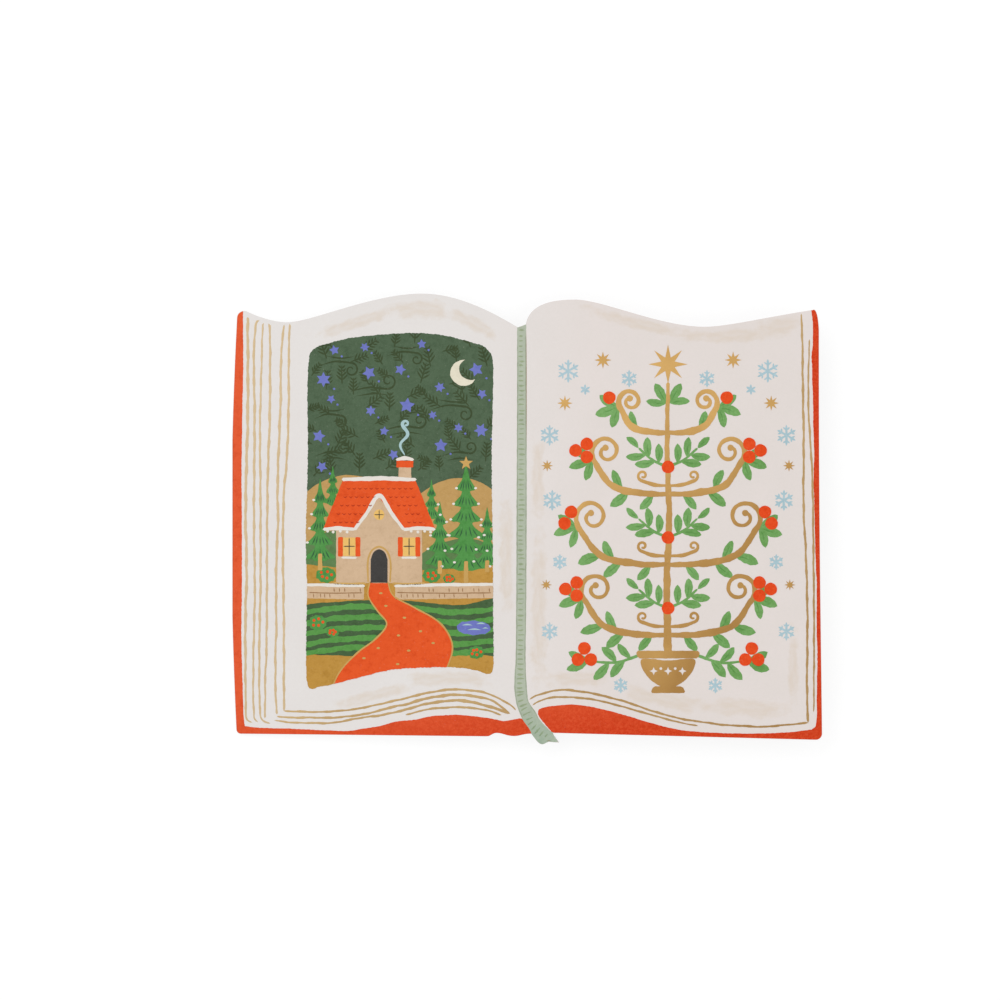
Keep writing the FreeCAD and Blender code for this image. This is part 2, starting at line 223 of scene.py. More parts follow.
def make_mesh(name, points, faces, sharp_angle=SHARP_ANGLE):
    """Makes a piece from points in millimetres, with smooth faces and sharp cut edges."""
    used = np.unique([number for face in faces for number in face])
    place = np.zeros(len(points), int)
    place[used] = np.arange(len(used))
    mesh = bpy.data.meshes.new(name)
    mesh.from_pydata((points[used] * MM).tolist(), [], [place[list(face)].tolist() for face in faces])
    mesh.validate()
    mesh.shade_smooth()
    mesh.set_sharp_from_angle(angle=math.radians(sharp_angle))
    piece = bpy.data.objects.new(name, mesh)
    bpy.context.scene.collection.objects.link(piece)
    return piece


def build_sheet():
    """Builds both leaves and the fold between them as one closed skin."""
    outline = die_outline()
    inner = inset(outline, EDGE_ROUND, 0.97)
    inner = inner[inner[:, 0] > FOLD_X + 0.3]
    low, high = outline.min(0), outline.max(0)
    field = grid_points(low, high, SHEET_GRID)
    field = field[(clearance(field, outline) > 0.7) & (field[:, 0] > FOLD_X + 1)]
    hollow = [FOLD_HOLLOW_X, FOLD_X - 0.19, FOLD_X - 0.16, FOLD_X - 0.1]
    spots, faces = cut_to_triangles([outline], np.vstack([inner, field]), fold_lines(low[1], high[1], hollow))
    faces = faces[within(spots[faces].mean(1), outline)]
    doubled = spots[faces].mean(1)[:, 0] > FOLD_HOLLOW_X
    rim = rim_edges(faces)
    x = spots[:, 0]
    drop = np.where(np.isin(np.arange(len(x)), rim) & (x > FOLD_X), EDGE_DROP, 0)
    heights = [leaf_top(x) - drop, front_face(x, FOLD_INNER, LEAF_RADIUS) + drop / 2,
               back_face(x, FOLD_INNER) - drop / 2, back_face(x, FOLD_OUTER) + drop / 2]
    skins = [np.column_stack([spots, z]) for z in heights]
    count = len(spots)
    inside = faces[doubled]
    skin_faces = [faces, inside[:, ::-1] + count, inside + 2 * count, faces[:, ::-1] + 3 * count]
    walls = []
    for a, b in rim:
        if max(x[a], x[b]) <= FOLD_EDGE_X + 1e-4:
            continue
        layers = [(0, 1), (2, 3)] if (x[a] + x[b]) / 2 > FOLD_HOLLOW_X else [(0, 3)]
        for upper, lower in layers:
            walls.append((b + upper * count, a + upper * count, a + lower * count, b + lower * count))
    every_face = [tuple(face) for group in skin_faces for face in group] + walls
    piece = make_mesh("folded_sheet", np.vstack(skins), every_face)
    bpy.context.view_layer.objects.active = piece
    weld = piece.modifiers.new("weld", "WELD")
    weld.merge_threshold = 2e-7
    depsgraph = bpy.context.evaluated_depsgraph_get()
    welded = bpy.data.meshes.new_from_object(piece.evaluated_get(depsgraph))
    piece.modifiers.clear()
    piece.data = welded
    welded.name = "folded_sheet"
    welded.set_sharp_from_angle(angle=math.radians(SHARP_ANGLE))
    return piece


def tone(red, green, blue):
    """Turns a colour as the eye reads it, from 0 to 255, into the shader's linear numbers."""
    levels = [c / 255 for c in (red, green, blue)]
    return tuple(c / 12.92 if c <= 0.04045 else ((c + 0.055) / 1.055) ** 2.4 for c in levels) + (1,)


def new_group(name, numbers, colours, outputs):
    """Starts a shader node group that takes some numbers and colours. Its output Color is a colour."""
    tree = bpy.data.node_groups.new(name, "ShaderNodeTree")
    for way, labels in (("INPUT", [*numbers, *colours]), ("OUTPUT", outputs)):
        for label in labels:
            kind = "NodeSocketColor" if label in (*colours, "Color") else "NodeSocketFloat"
            tree.interface.new_socket(label, in_out=way, socket_type=kind)
    return tree, tree.nodes.new("NodeGroupInput"), tree.nodes.new("NodeGroupOutput")


def use_group(tree, group, values):
    """Adds a node group to a tree and sets its inputs."""
    node = add(tree, "ShaderNodeGroup", node_tree=group)
    for label, value in values.items():
        node.inputs[label].default_value = value
    return node.outputs


def add(tree, kind, links=None, **settings):
    """Adds a node, sets its options and values, and links its inputs."""
    node = tree.nodes.new(kind)
    for key, value in settings.items():
        if hasattr(node, key):
            setattr(node, key, value)
        else:
            node.inputs[key.replace("_", " ")].default_value = value
    for socket, source in (links or {}).items():
        tree.links.new(source, node.inputs[socket])
    return node


def noise(tree, place, scale, detail, stretch=(1, 1, 1), roughness=0.55):
    """Adds a noise in the sheet's own coordinates, with its grain given per metre."""
    spread = add(tree, "ShaderNodeMapping", {"Vector": place})
    spread.inputs["Scale"].default_value = stretch
    return add(tree, "ShaderNodeTexNoise", {"Vector": spread.outputs["Vector"]},
               Scale=scale, Detail=detail, Roughness=roughness).outputs["Fac"]


def remap(tree, source, low, high, to_low=0.0, to_high=1.0):
    """Stretches a value from one range to another."""
    node = add(tree, "ShaderNodeMapRange", {"Value": source})
    for label, value in (("From Min", low), ("From Max", high), ("To Min", to_low), ("To Max", to_high)):
        node.inputs[label].default_value = value
    return node.outputs["Result"]


def maths(tree, operation, first, second):
    """Works out a sum, product or other step from two values."""
    node = tree.nodes.new("ShaderNodeMath")
    node.operation = operation
    for socket, value in zip(node.inputs, (first, second)):
        if isinstance(value, (int, float)):
            socket.default_value = value
        else:
            tree.links.new(value, socket)
    return node.outputs[0]


def times(tree, first, second):
    """Multiplies two values."""
    return maths(tree, "MULTIPLY", first, second)


def plus(tree, first, second):
    """Adds two values."""
    return maths(tree, "ADD", first, second)


def mixed(tree, factor, first, second):
    """Blends two colours by a mask."""
    node = tree.nodes.new("ShaderNodeMix")
    node.data_type = "RGBA"
    for socket, value in ((node.inputs[0], factor), (node.inputs[6], first), (node.inputs[7], second)):
        if isinstance(value, (tuple, float)):
            socket.default_value = value
        else:
            tree.links.new(value, socket)
    return node.outputs[2]


def paper_fibre_group():
    """Short felted fibres of uncoated card: a faint change of tone and a very low relief."""
    tree, entry, end = new_group("PaperFibre", [], [], ["Tone", "Height"])
    place = add(tree, "ShaderNodeTexCoord").outputs["Object"]
    cloud = noise(tree, place, 90, 3)
    felt = noise(tree, place, 1500, 4, roughness=0.7)
    along = noise(tree, place, 1100, 3, stretch=(1, 3.2, 1), roughness=0.65)
    blend = plus(tree, times(tree, cloud, 0.5), times(tree, felt, 0.5))
    tree.links.new(blend, end.inputs["Tone"])
    tree.links.new(plus(tree, felt, along), end.inputs["Height"])
    return tree


WASH_INPUTS = ["Centre X", "Centre Y", "Half Length", "Half Width", "Turn", "Bow"]


def brushed_wash_group():
    """A pale dry-brushed wash: a soft-edged bar whose colour breaks up into streaks."""
    tree, entry, end = new_group("BrushedWash", WASH_INPUTS, [], ["Mask"])
    place = add(tree, "ShaderNodeTexCoord").outputs["Object"]
    parts = add(tree, "ShaderNodeSeparateXYZ", {"Vector": place})
    dx = maths(tree, "SUBTRACT", parts.outputs["X"], entry.outputs["Centre X"])
    dy = maths(tree, "SUBTRACT", parts.outputs["Y"], entry.outputs["Centre Y"])
    cosine = maths(tree, "COSINE", entry.outputs["Turn"], 0.0)
    sine = maths(tree, "SINE", entry.outputs["Turn"], 0.0)
    u = plus(tree, times(tree, dx, cosine), times(tree, dy, sine))
    v = maths(tree, "SUBTRACT", times(tree, dy, cosine), times(tree, dx, sine))
    share = maths(tree, "DIVIDE", u, entry.outputs["Half Length"])
    v = plus(tree, v, times(tree, times(tree, share, share), entry.outputs["Bow"]))
    depth = maths(tree, "DIVIDE", v, entry.outputs["Half Width"])
    ragged = noise(tree, place, 330, 5, roughness=0.6)
    reach = [maths(tree, "POWER", maths(tree, "ABSOLUTE", part, 0.0), 4.0) for part in (share, depth)]
    far = maths(tree, "POWER", plus(tree, *reach), 0.25)
    far = plus(tree, far, times(tree, maths(tree, "SUBTRACT", ragged, 0.5), 1.7))
    bar = remap(tree, far, 1.05, 0.6)
    streak = add(tree, "ShaderNodeCombineXYZ", {"X": times(tree, u, 0.3), "Y": v})
    bristle = noise(tree, streak.outputs["Vector"], 900, 3)
    broken = remap(tree, bristle, 0.3, 0.62, 0.35, 1.0)
    tree.links.new(times(tree, bar, broken), end.inputs["Mask"])
    return tree


paper_fibre = paper_fibre_group()
brushed_wash = brushed_wash_group()

WASHES = [
    # in the order of the inputs above, in millimetres, with the turn in degrees
    (-40, 46.6, 10, 1.5, 18, 0), (-25.5, 49.6, 8.5, 2.2, 1, 0.9), (-13, 46.4, 7, 1.7, -28, 0),
    (-4.9, -9, 13, 1.8, 90, 0), (-35.5, -41.6, 9.5, 1.5, 15, 0), (-18.5, -37.6, 11.5, 1.8, 1, 1.3),
    (27, 45.9, 12.5, 1.4, -13, -0.5), (47.5, 43.2, 12, 1.6, 3, -0.7), (59.5, 45.2, 5.5, 2.4, 10, 0),
    (2.6, 9.5, 9.5, 1.6, 90, 0), (2.9, -21, 18, 2, 90, 0), (11.5, -37.9, 8, 1.9, 2, 0),
    (31.5, -42.6, 9.5, 1.9, -14, 0), (51.5, -44.8, 11, 2.3, -2, 0), (63, -35, 9, 1.3, 90, 0),
]


def card_stock():
    """Warm white uncoated card, with faint brushed washes printed along the pages' edges. Its colour is
    painted a little darker and warmer towards the right as painted shade.
    """
    material = bpy.data.materials.new("card_stock")
    material.use_nodes = True
    tree = material.node_tree
    skin = tree.nodes["Principled BSDF"]
    fibre = use_group(tree, paper_fibre, {})
    felted = remap(tree, fibre["Tone"], 0.35, 0.65)
    lit_cool_paper = mixed(tree, felted, tone(224, 219, 216), tone(227, 223, 220))
    shaded_warm_paper = mixed(tree, felted, tone(222, 214, 209), tone(226, 217, 213))
    across = add(tree, "ShaderNodeSeparateXYZ", {"Vector": add(tree, "ShaderNodeTexCoord").outputs["Object"]})
    # painted shade: the paper is painted a little darker and warmer from left to right
    light = mixed(tree, remap(tree, across.outputs["X"], -0.014, 0.016), lit_cool_paper, shaded_warm_paper)
    washes = None
    for wash in WASHES:
        values = {label: math.radians(value) if label == "Turn" else value * MM
                  for label, value in zip(WASH_INPUTS, wash)}
        mask = use_group(tree, brushed_wash, values)["Mask"]
        washes = mask if washes is None else maths(tree, "MAXIMUM", washes, mask)
    # the washes are printed on the front face only
    place = add(tree, "ShaderNodeNewGeometry")
    facing = add(tree, "ShaderNodeSeparateXYZ", {"Vector": place.outputs["Normal"]})
    height = add(tree, "ShaderNodeSeparateXYZ", {"Vector": place.outputs["Position"]})
    front = maths(tree, "GREATER_THAN", facing.outputs["Z"], 0.5)
    above = maths(tree, "GREATER_THAN", height.outputs["Z"], 0.0008)
    amount = times(tree, times(tree, front, above), times(tree, washes, 0.5))
    colour = mixed(tree, amount, light, tone(214, 198, 180))
    tree.links.new(colour, skin.inputs["Base Color"])
    skin.inputs["Roughness"].default_value = 0.82
    skin.inputs["Specular IOR Level"].default_value = 0.3
    bump = add(tree, "ShaderNodeBump", {"Height": fibre["Height"]}, Strength=0.1, Distance=0.00012)
    tree.links.new(bump.outputs["Normal"], skin.inputs["Normal"])
    return material


sheet = build_sheet()
sheet.data.materials.append(card_stock())
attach(sheet, "root")
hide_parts("folded_card")

# Cover edge
# The edge of the drawn book's cloth cover, in flat red ink to the cut. It is a narrow strip at each
# side and swells below the pages. Thin layers of ink lie on the leaf, one over another.

INK_LIFT = 0.012
INK_STEP = 0.008
INK_ROOT = 0.02
INK_GRID = 3.0
INK_RELIEF = 0.00008
PRINT_MARGIN = 0.06


def smooth(points, spacing=0.35, closed=False):
    """Runs a smooth line through some points."""
    knots = np.array(points, float)
    if closed:
        knots = np.vstack([knots[-1:], knots, knots[:2]])
    else:
        knots = np.vstack([2 * knots[0] - knots[1], knots, 2 * knots[-1] - knots[-2]])
    steps = np.diff(knots, axis=0)
    lengths = np.maximum(np.linalg.norm(steps, axis=1), 1e-9)
    gaps = np.sqrt(lengths)[:, None]
    rates = steps / gaps
    slopes = (rates[:-1] * gaps[1:] + rates[1:] * gaps[:-1]) / (gaps[:-1] + gaps[1:])
    runs = []
    for number in range(1, len(knots) - 2):
        gap = gaps[number]
        count = max(1, int(round(lengths[number] / spacing)))
        s = np.arange(count)[:, None] / count
        run = (2 * s ** 3 - 3 * s ** 2 + 1) * knots[number]
        run = run + (s ** 3 - 2 * s ** 2 + s) * gap * slopes[number - 1]
        run = run + (3 * s ** 2 - 2 * s ** 3) * knots[number + 1]
        runs.append(run + (s ** 3 - s ** 2) * gap * slopes[number])
    if not closed:
        runs.append(knots[-2:-1])
    return np.vstack(runs)


def travel(points):
    """Gives how far along a line each of its points lies."""
    return np.concatenate([[0], np.cumsum(np.linalg.norm(np.diff(points, axis=0), axis=1))])


def waver(points, reach, length, seed):
    """Lets a closed edge wander a little, as a brush or pen leaves it."""
    draw = random.Random(seed)
    ring = np.vstack([points, points[:1]])
    share = travel(ring)
    share, total = share[:-1] / share[-1], share[-1]
    waves = max(2, round(total / length))
    shift = np.zeros(len(points))
    for rate, part in ((1, 0.55), (2, 0.3), (4, 0.2), (7, 0.12)):
        shift += part * np.sin(2 * math.pi * (waves * rate * share + draw.random()))
    return points + sideways(points) * (shift * reach)[:, None]


def lay_print(name, shapes, layer, finish, cut_out=(), limit=None, ridge=(), ridge_lift=0.0):
    """Prints a layer: joins some closed shapes and lays them on the leaf as a thin skin of ink."""
    limit = [] if limit is None else [limit]
    corners = np.vstack(shapes)
    low, high = corners.min(0), corners.max(0)
    field = grid_points(low, high, INK_GRID)
    field = field[np.any([within(field, shape) for shape in shapes], axis=0)]
    by_fold = fold_lines(low[1], high[1]) if low[0] < FOLD_X else []
    spots, faces = cut_to_triangles([*shapes, *cut_out, *limit], np.vstack([field, *ridge]), by_fold)
    middles = spots[faces].mean(1)
    kept = np.any([within(middles, shape) for shape in shapes], axis=0)
    for shape in cut_out:
        kept &= ~within(middles, shape)
    for shape in limit:
        kept &= within(middles, shape)
    a, b, c = (spots[faces[:, i]] for i in range(3))
    size = (b[:, 0] - a[:, 0]) * (c[:, 1] - a[:, 1]) - (c[:, 0] - a[:, 0]) * (b[:, 1] - a[:, 1])
    faces = faces[kept & (np.abs(size) > 1e-7)]
    rim = rim_edges(faces)
    count = len(spots)
    lift = np.full(count, INK_LIFT + INK_STEP * layer)
    if len(ridge):
        lift[(clearance(spots, np.vstack(ridge)) < 1e-3) & ~np.isin(np.arange(count), rim)] += ridge_lift
    walls = [(b, a, a + count, b + count) for a, b in rim]
    every_face = [tuple(f) for f in faces] + [tuple(f) for f in faces[:, ::-1] + count] + walls
    piece = make_mesh(name, np.vstack([on_leaf(spots, lift), on_leaf(spots, -INK_ROOT)]), every_face, 35)
    piece.data.materials.append(finish)
    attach(piece, "root")
    return piece


def printed_ink_group():
    """Offset ink soaked into uncoated card: cloudy density, a fine grain and specks of bare paper. It also
    turns to a darker painted shade colour towards the right and along the bottom edge.
    """
    tree, entry, end = new_group(
        "PrintedInk", ["Cloud", "Grain", "Specks", "Painted Shade Right", "Painted Shade Down"],
        ["Full Ink", "Thin Ink", "Dark Ink", "Painted Shade Ink"], ["Color", "Height", "Roughness"])
    taken = entry.outputs
    place = add(tree, "ShaderNodeTexCoord").outputs["Object"]
    cloud = remap(tree, noise(tree, place, 130, 4), 0.35, 0.7)
    grain = remap(tree, noise(tree, place, 1500, 4, roughness=0.85), 0.42, 0.59)
    deep = remap(tree, noise(tree, place, 600, 5, roughness=0.75), 0.5, 0.7)
    thin = plus(tree, times(tree, cloud, taken["Cloud"]), times(tree, grain, taken["Grain"]))
    thin = maths(tree, "MINIMUM", thin, 1.0)
    across = add(tree, "ShaderNodeSeparateXYZ", {"Vector": place})
    # painted shade: the full ink turns to the painted shade ink towards the right and along the bottom edge
    painted_shade_to_right = times(tree, remap(tree, across.outputs["X"], -0.055, 0.06), taken["Painted Shade Right"])
    painted_shade_to_bottom = times(tree, remap(tree, across.outputs["Y"], -0.044, -0.0505), taken["Painted Shade Down"])
    full = mixed(tree, plus(tree, painted_shade_to_right, painted_shade_to_bottom), taken["Full Ink"], taken["Painted Shade Ink"])
    colour = mixed(tree, times(tree, thin, 0.8), full, taken["Thin Ink"])
    colour = mixed(tree, times(tree, deep, 0.55), colour, taken["Dark Ink"])
    bare = remap(tree, noise(tree, place, 2300, 2, roughness=0.8), 0.66, 0.74)
    colour = mixed(tree, times(tree, bare, taken["Specks"]), colour, tone(226, 214, 204))
    tree.links.new(colour, end.inputs["Color"])
    tree.links.new(grain, end.inputs["Height"])
    tree.links.new(remap(tree, cloud, 0.0, 1.0, 0.6, 0.74), end.inputs["Roughness"])
    return tree


def layered_finish(name, group, relief, gloss, values):
    """Makes a material from a node group that gives its colour, roughness and relief."""
    material = bpy.data.materials.new(name)
    material.use_nodes = True
    tree = material.node_tree
    skin = tree.nodes["Principled BSDF"]
    layer = use_group(tree, group, values)
    skin.inputs[gloss[0]].default_value = gloss[1]
    tree.links.new(layer["Color"], skin.inputs["Base Color"])
    tree.links.new(layer["Roughness"], skin.inputs["Roughness"])
    bump = add(tree, "ShaderNodeBump", {"Height": layer["Height"]}, Strength=relief, Distance=INK_RELIEF)
    tree.links.new(bump.outputs["Normal"], skin.inputs["Normal"])
    return material


def shade(colour, by):
    """Makes a colour lighter or darker by some steps of 255."""
    return tuple(min(255, max(0, c + by)) for c in colour)


def ink(name, colour, thin, dark, cloud=0.35, grain=0.4, specks=0.15, deep=None, right=1.0, painted_shade_down=0.0):
    """Makes a printed ink from its main colour, with how far its thin and dark places differ. A deep colour,
    where given, is painted shade towards the right and the bottom edge.
    """
    return layered_finish(
        name, printed_ink, 0.12, ("Specular IOR Level", 0.1),
        {"Cloud": cloud, "Grain": grain, "Specks": specks, "Painted Shade Right": right if deep else 0,
         "Painted Shade Down": painted_shade_down, "Full Ink": tone(*colour), "Thin Ink": tone(*shade(colour, thin)),
         "Dark Ink": tone(*shade(colour, dark)), "Painted Shade Ink": tone(*(deep or colour))})


# the print stops just inside the rounded cut edge
page_limit = inset(die_outline(), PRINT_MARGIN, 0.9)
printed_ink = printed_ink_group()

LEFT_STRIP_INNER = [
    (-67.2, 49.9), (-67.29, 48.3), (-67.25, 39.8), (-67.27, 34.1), (-67.41, 28.4), (-67.52, 21),
    (-67.66, 11), (-67.6, 2.8), (-67.58, -17.1), (-67.69, -26), (-67.62, -32), (-67.45, -37.5),
    (-67.3, -42.7), (-67.2, -46), (-66.9, -49.15)]
LEFT_SWELL = [
    (-66.9, -49.15), (-64.2, -49.45), (-61.56, -49.6), (-56.82, -49.7), (-46.64, -50.15), (-41.42, -50.2),
    (-39.65, -49.8), (-37.75, -49.55), (-35.86, -49.27), (-33.96, -48.83), (-32.07, -48.28),
    (-30.2, -47.88), (-26.3, -47.55), (-24.6, -47.1), (-22.3, -46.7), (-19.6, -46.5), (-16.2, -46.4),
    (-12.8, -46.7), (-11.1, -46.92), (-9.3, -47.1), (-7.4, -47.5), (-5.6, -47.85), (-4.6, -47.75),
    (-2.6, -47.4), (-1.1, -47.3), (0.9, -48.4), (2.6, -50.6), (4, -52.4)]
RIGHT_SWELL = [
    (2.62, -46.29), (2.72, -45.3), (3.3, -44.85), (6.43, -44.25), (11.1, -43.95), (15.67, -44.56),
    (22.4, -46.2), (29.6, -48.35), (36.28, -49.92), (45.05, -50.62), (55.24, -50.75), (63.05, -50.36),
    (67.3, -49.8)]
RIGHT_STRIP_INNER = [
    (67.3, -49.8), (68.15, -49.2), (68.45, -48.2), (68.6, -46.3), (68.57, -43.4), (68.65, -37.7),
    (68.72, -32), (68.55, -26.3), (68.55, -14.9), (68.4, -12), (68.2, -6.4), (68.08, -0.7), (67.95, 5),
    (67.8, 9), (67.96, 15.5), (67.75, 22), (67.7, 27.7), (67.5, 33), (67.45, 36.2), (67.35, 39.1),
    (67.6, 40.8), (67.65, 44.8), (67.55, 47.5), (67.2, 49.6)]

left_cover = np.vstack([
    smooth(LEFT_STRIP_INNER)[:-1], smooth(LEFT_SWELL), [(4.6, -55), (-72, -55), (-72, 52), (-67.2, 52)]])
right_cover = np.vstack([
    smooth(RIGHT_SWELL)[:-1], smooth(RIGHT_STRIP_INNER), [(67.2, 52), (72, 52), (72, -55), (6, -55)],
    smooth([(6.05, -50.62), (4.6, -49), (3.2, -47.2), (2.62, -46.29)])[:-1]])
# painted shade: the red is painted darker towards the right and along the bottom edge
cover_red = ink("cover_red", (222, 88, 47), thin=9, dark=-28, cloud=0.15, grain=0.5, specks=0.1,
                deep=(199, 50, 10), painted_shade_down=0.38)
covers = [waver(waver(left_cover, 0.04, 5, 11), 0.035, 1.1, 13),
          waver(waver(right_cover, 0.04, 5, 12), 0.035, 1.1, 14)]
lay_print("cover_edge", covers, 0, cover_red, limit=page_limit)

# Page lines
# The edges of the drawn pages, stamped in thin gold foil by a wandering pen. They run down the outer
# sides of both pages and fan out along the bottom towards the gutter.


def stroke(points, width, seed=0, ends=(1.0, 1.0), point_length=0.0, spacing=0.4, roughness=0.12):
    """Draws a pen stroke along a line and gives its loop and the ridge of points down its middle.

    The width may change from point to point. An end of 1 is round and an end of 0 runs to a point.
    """
    spine = smooth(points, spacing)
    along = travel(spine)
    total = along[-1]
    draw = random.Random(seed)
    widths = [width] * len(points) if isinstance(width, (int, float)) else list(width)
    marks = np.linspace(0, total, len(widths))
    half = np.interp(along, marks, widths) / 2
    for length, part in ((3.1, 0.5), (1.3, 0.3), (7, 0.5)):
        half *= 1 + roughness * part * np.sin(2 * math.pi * (along / length + draw.random()))
    for gap, end in ((along, ends[0]), (total - along, ends[1])):
        reach = np.maximum(half, 1e-6) if end else np.full(len(spine), max(point_length, 1e-6))
        near = np.clip(gap / reach, 0, 1)
        half = half * (np.sqrt(1 - (1 - near) ** 2) if end else near ** 0.7)
    side = sideways(spine, closed=False)
    drift = np.zeros(len(spine))
    for length, part in ((9, 0.5), (4.3, 0.35), (2.1, 0.15)):
        drift += part * np.sin(2 * math.pi * (along / length + draw.random()))
    spine = spine + side * (drift * roughness * float(np.mean(widths)) * 0.6)[:, None]
    loop = np.vstack([spine + side * half[:, None], (spine - side * half[:, None])[::-1]])
    return loop, spine[2:-2]


def gold_foil_group():
    """Hot-stamped gold foil on rough card: the paper's grain shows through, the tone shifts at random, and it
    is painted darker towards the lower right as painted shade.
    """
    tree, entry, end = new_group("GoldFoil", [], ["Bright", "Deep"], ["Color", "Roughness", "Height"])
    place = add(tree, "ShaderNodeTexCoord").outputs["Object"]
    cloud = remap(tree, noise(tree, place, 60, 3), 0.35, 0.65)
    grain = noise(tree, place, 1900, 3, roughness=0.7)
    across = add(tree, "ShaderNodeSeparateXYZ", {"Vector": place})
    # painted shade: the foil runs from its bright colour at the upper left to its deep colour at the lower
    # right
    lean = remap(tree, maths(tree, "SUBTRACT", across.outputs["X"], across.outputs["Y"]), -0.03, 0.1)
    part = plus(tree, times(tree, cloud, 0.35), times(tree, lean, 0.65))
    colour = mixed(tree, part, entry.outputs["Bright"], entry.outputs["Deep"])
    tree.links.new(colour, end.inputs["Color"])
    rough = times(tree, maths(tree, "SUBTRACT", grain, 0.5), 0.5)
    tree.links.new(plus(tree, rough, 0.45), end.inputs["Roughness"])
    tree.links.new(grain, end.inputs["Height"])
    return tree


def foil(name, bright, deep):
    """Makes a gold foil finish."""
    colours = {"Bright": tone(*bright), "Deep": tone(*deep)}
    return layered_finish(name, gold_foil, 0.15, ("Metallic", 0.6), colours)


gold_foil = gold_foil_group()
line_gold = foil("line_gold", (211, 187, 149), (196, 165, 114))
low_gold = foil("low_gold", (206, 176, 126), (168, 130, 76))

# each line: the way it runs, and its width at the start, on the way and at the end
PAGE_LINES = [
    ([(-66.2, 47.9), (-66.18, 44.6), (-66.16, 27.6), (-66.29, 19), (-66.47, 14), (-66.7, -0.9),
      (-66.49, -8), (-66.5, -16.5), (-66.7, -21), (-66.72, -36.4), (-66.6, -45.5), (-66.3, -47.7),
      (-65.1, -48.3)], (0.62, 0.68, 0.66, 0.64, 0.62, 0.4)),
    ([(-63.35, 47.05), (-63.85, 46.85), (-64.25, 46.2), (-64.45, 44.6), (-64.75, 37.5), (-64.56, 26.2),
      (-64.7, -0.9), (-64.5, -16.5), (-64.85, -33.6), (-64.8, -44.9), (-64.55, -47.4), (-63.7, -48.2)],
     (0.5, 0.6, 0.55, 0.5, 0.4)),
    ([(-62.4, 46.5), (-62.6, 46), (-62.67, 44.6), (-63, 33), (-63.27, 21.9), (-63.15, 3.4),
      (-63.18, -17.9), (-63.39, -26.4), (-63.3, -44.9), (-63, -47.2), (-62, -48.1), (-60.8, -48.5)],
     (0.4, 0.48, 0.52, 0.54, 0.54, 0.42)),
    ([(-61.25, 46.35), (-60.98, 45.8), (-60.92, 44.6), (-60.95, 24.7), (-61.45, 9.1), (-61.77, -32.1),
      (-62.03, -37.8), (-62.07, -44.9), (-62.1, -47.3)], (0.45, 0.6, 0.56, 0.52, 0.52, 0.42)),
    ([(-57.6, 46.1), (-57.75, 44.6), (-58.35, 36.1), (-58.32, 30.4), (-59.1, 7.7), (-59, -0.9),
      (-59.32, -8), (-59.46, -19.3), (-59.38, -25), (-59.62, -33.6), (-59.41, -44.9), (-59.2, -46.4)],
     (0.45, 0.58, 0.6, 0.58, 0.52, 0.5)),
    ([(-56.25, 46.3), (-56.26, 44.6), (-56.44, 39), (-56.48, 26.2), (-56.95, 13.4), (-57.49, 7.7),
      (-57.82, -3.7), (-57.6, -26.4), (-57.58, -45.6)], (0.45, 0.56, 0.55, 0.58, 0.54, 0.55)),
    ([(-57.7, -45.5), (-56, -45.63), (-48.9, -45.73), (-44.15, -45.49), (-37, -44.39), (-31.1, -42.98),
      (-28.75, -42.54), (-24, -41.27), (-18.1, -40.43), (-15.7, -40.39), (-12.2, -40.72), (-9.8, -41.22),
      (-7.4, -42.13), (-3.9, -44.04), (-2.6, -45.35)], (0.45, 0.48, 0.46, 0.5, 0.56, 0.5, 0.36)),
    ([(-59.3, -46.85), (-56, -47.05), (-43, -46.9), (-35.9, -45.66), (-31.1, -44.39), (-28.75, -43.93),
      (-24, -42.6), (-19.3, -41.77), (-16.9, -41.67), (-12.2, -42.01), (-9.4, -42.6), (-7.7, -43.3),
      (-6, -44.6), (-3.9, -46.1)], (0.45, 0.5, 0.5, 0.58, 0.68, 0.62, 0.4)),
    ([(-59.9, -47.8), (-56, -48.21), (-51.3, -48.4), (-45.3, -48.22), (-38.2, -46.92), (-34.7, -46.57),
      (-29.9, -45.45), (-22.8, -43.63), (-18.1, -43.03), (-15.7, -43.06), (-12.8, -43.4), (-9.4, -44.3),
      (-6, -45.4), (-4, -46.15)], (0.36, 0.48, 0.46, 0.54, 0.62, 0.7, 0.6)),
    ([(-28.8, -46.4), (-26.3, -45.8), (-22.9, -45), (-19.6, -44.7), (-16.2, -44.6), (-12.8, -44.8),
      (-9.4, -45.3), (-6, -46.5)], (0.34, 0.48, 0.5, 0.48, 0.34)),
    ([(64.85, 48.6), (65.09, 44.6), (65.3, 30), (65.48, 19), (65.47, 2), (65.98, -8), (66.35, -22.2),
      (66.28, -42.1), (66.55, -48.2)], (0.42, 0.54, 0.5, 0.5, 0.52, 0.5)),
    ([(66.84, 42.5), (66.62, 35), (66.62, 25.8), (67.5, 10.4), (67.8, -10.2), (67.93, -25.1),
      (67.86, -45.7)], (0.3, 0.44, 0.46, 0.46, 0.46, 0.44, 0.3)),
    ([(0.6, -42.75), (2.05, -41.87), (4.42, -41.14), (6.8, -40.65), (9, -40.45), (13.9, -41.02),
      (19, -42.1), (22.3, -42.95), (26.9, -44.5), (32.7, -46.35), (36.4, -47.24), (44.7, -48.5),
      (49.4, -48.9), (55.35, -49.14), (58.9, -48.97), (63.5, -48.5), (66.6, -48.15)],
     (0.36, 0.5, 0.54, 0.5, 0.48, 0.46, 0.46, 0.5, 0.46, 0.42)),
    ([(1.3, -44.1), (2.05, -43.58), (4.42, -42.6), (6.8, -42.22), (9.5, -42.15), (11.5, -42.26),
      (17.45, -43.08), (24.6, -45), (29, -46.2), (32.7, -47.3), (38.65, -48.65), (40.5, -49)],
     (0.34, 0.46, 0.48, 0.44, 0.46, 0.42, 0.3)),
]

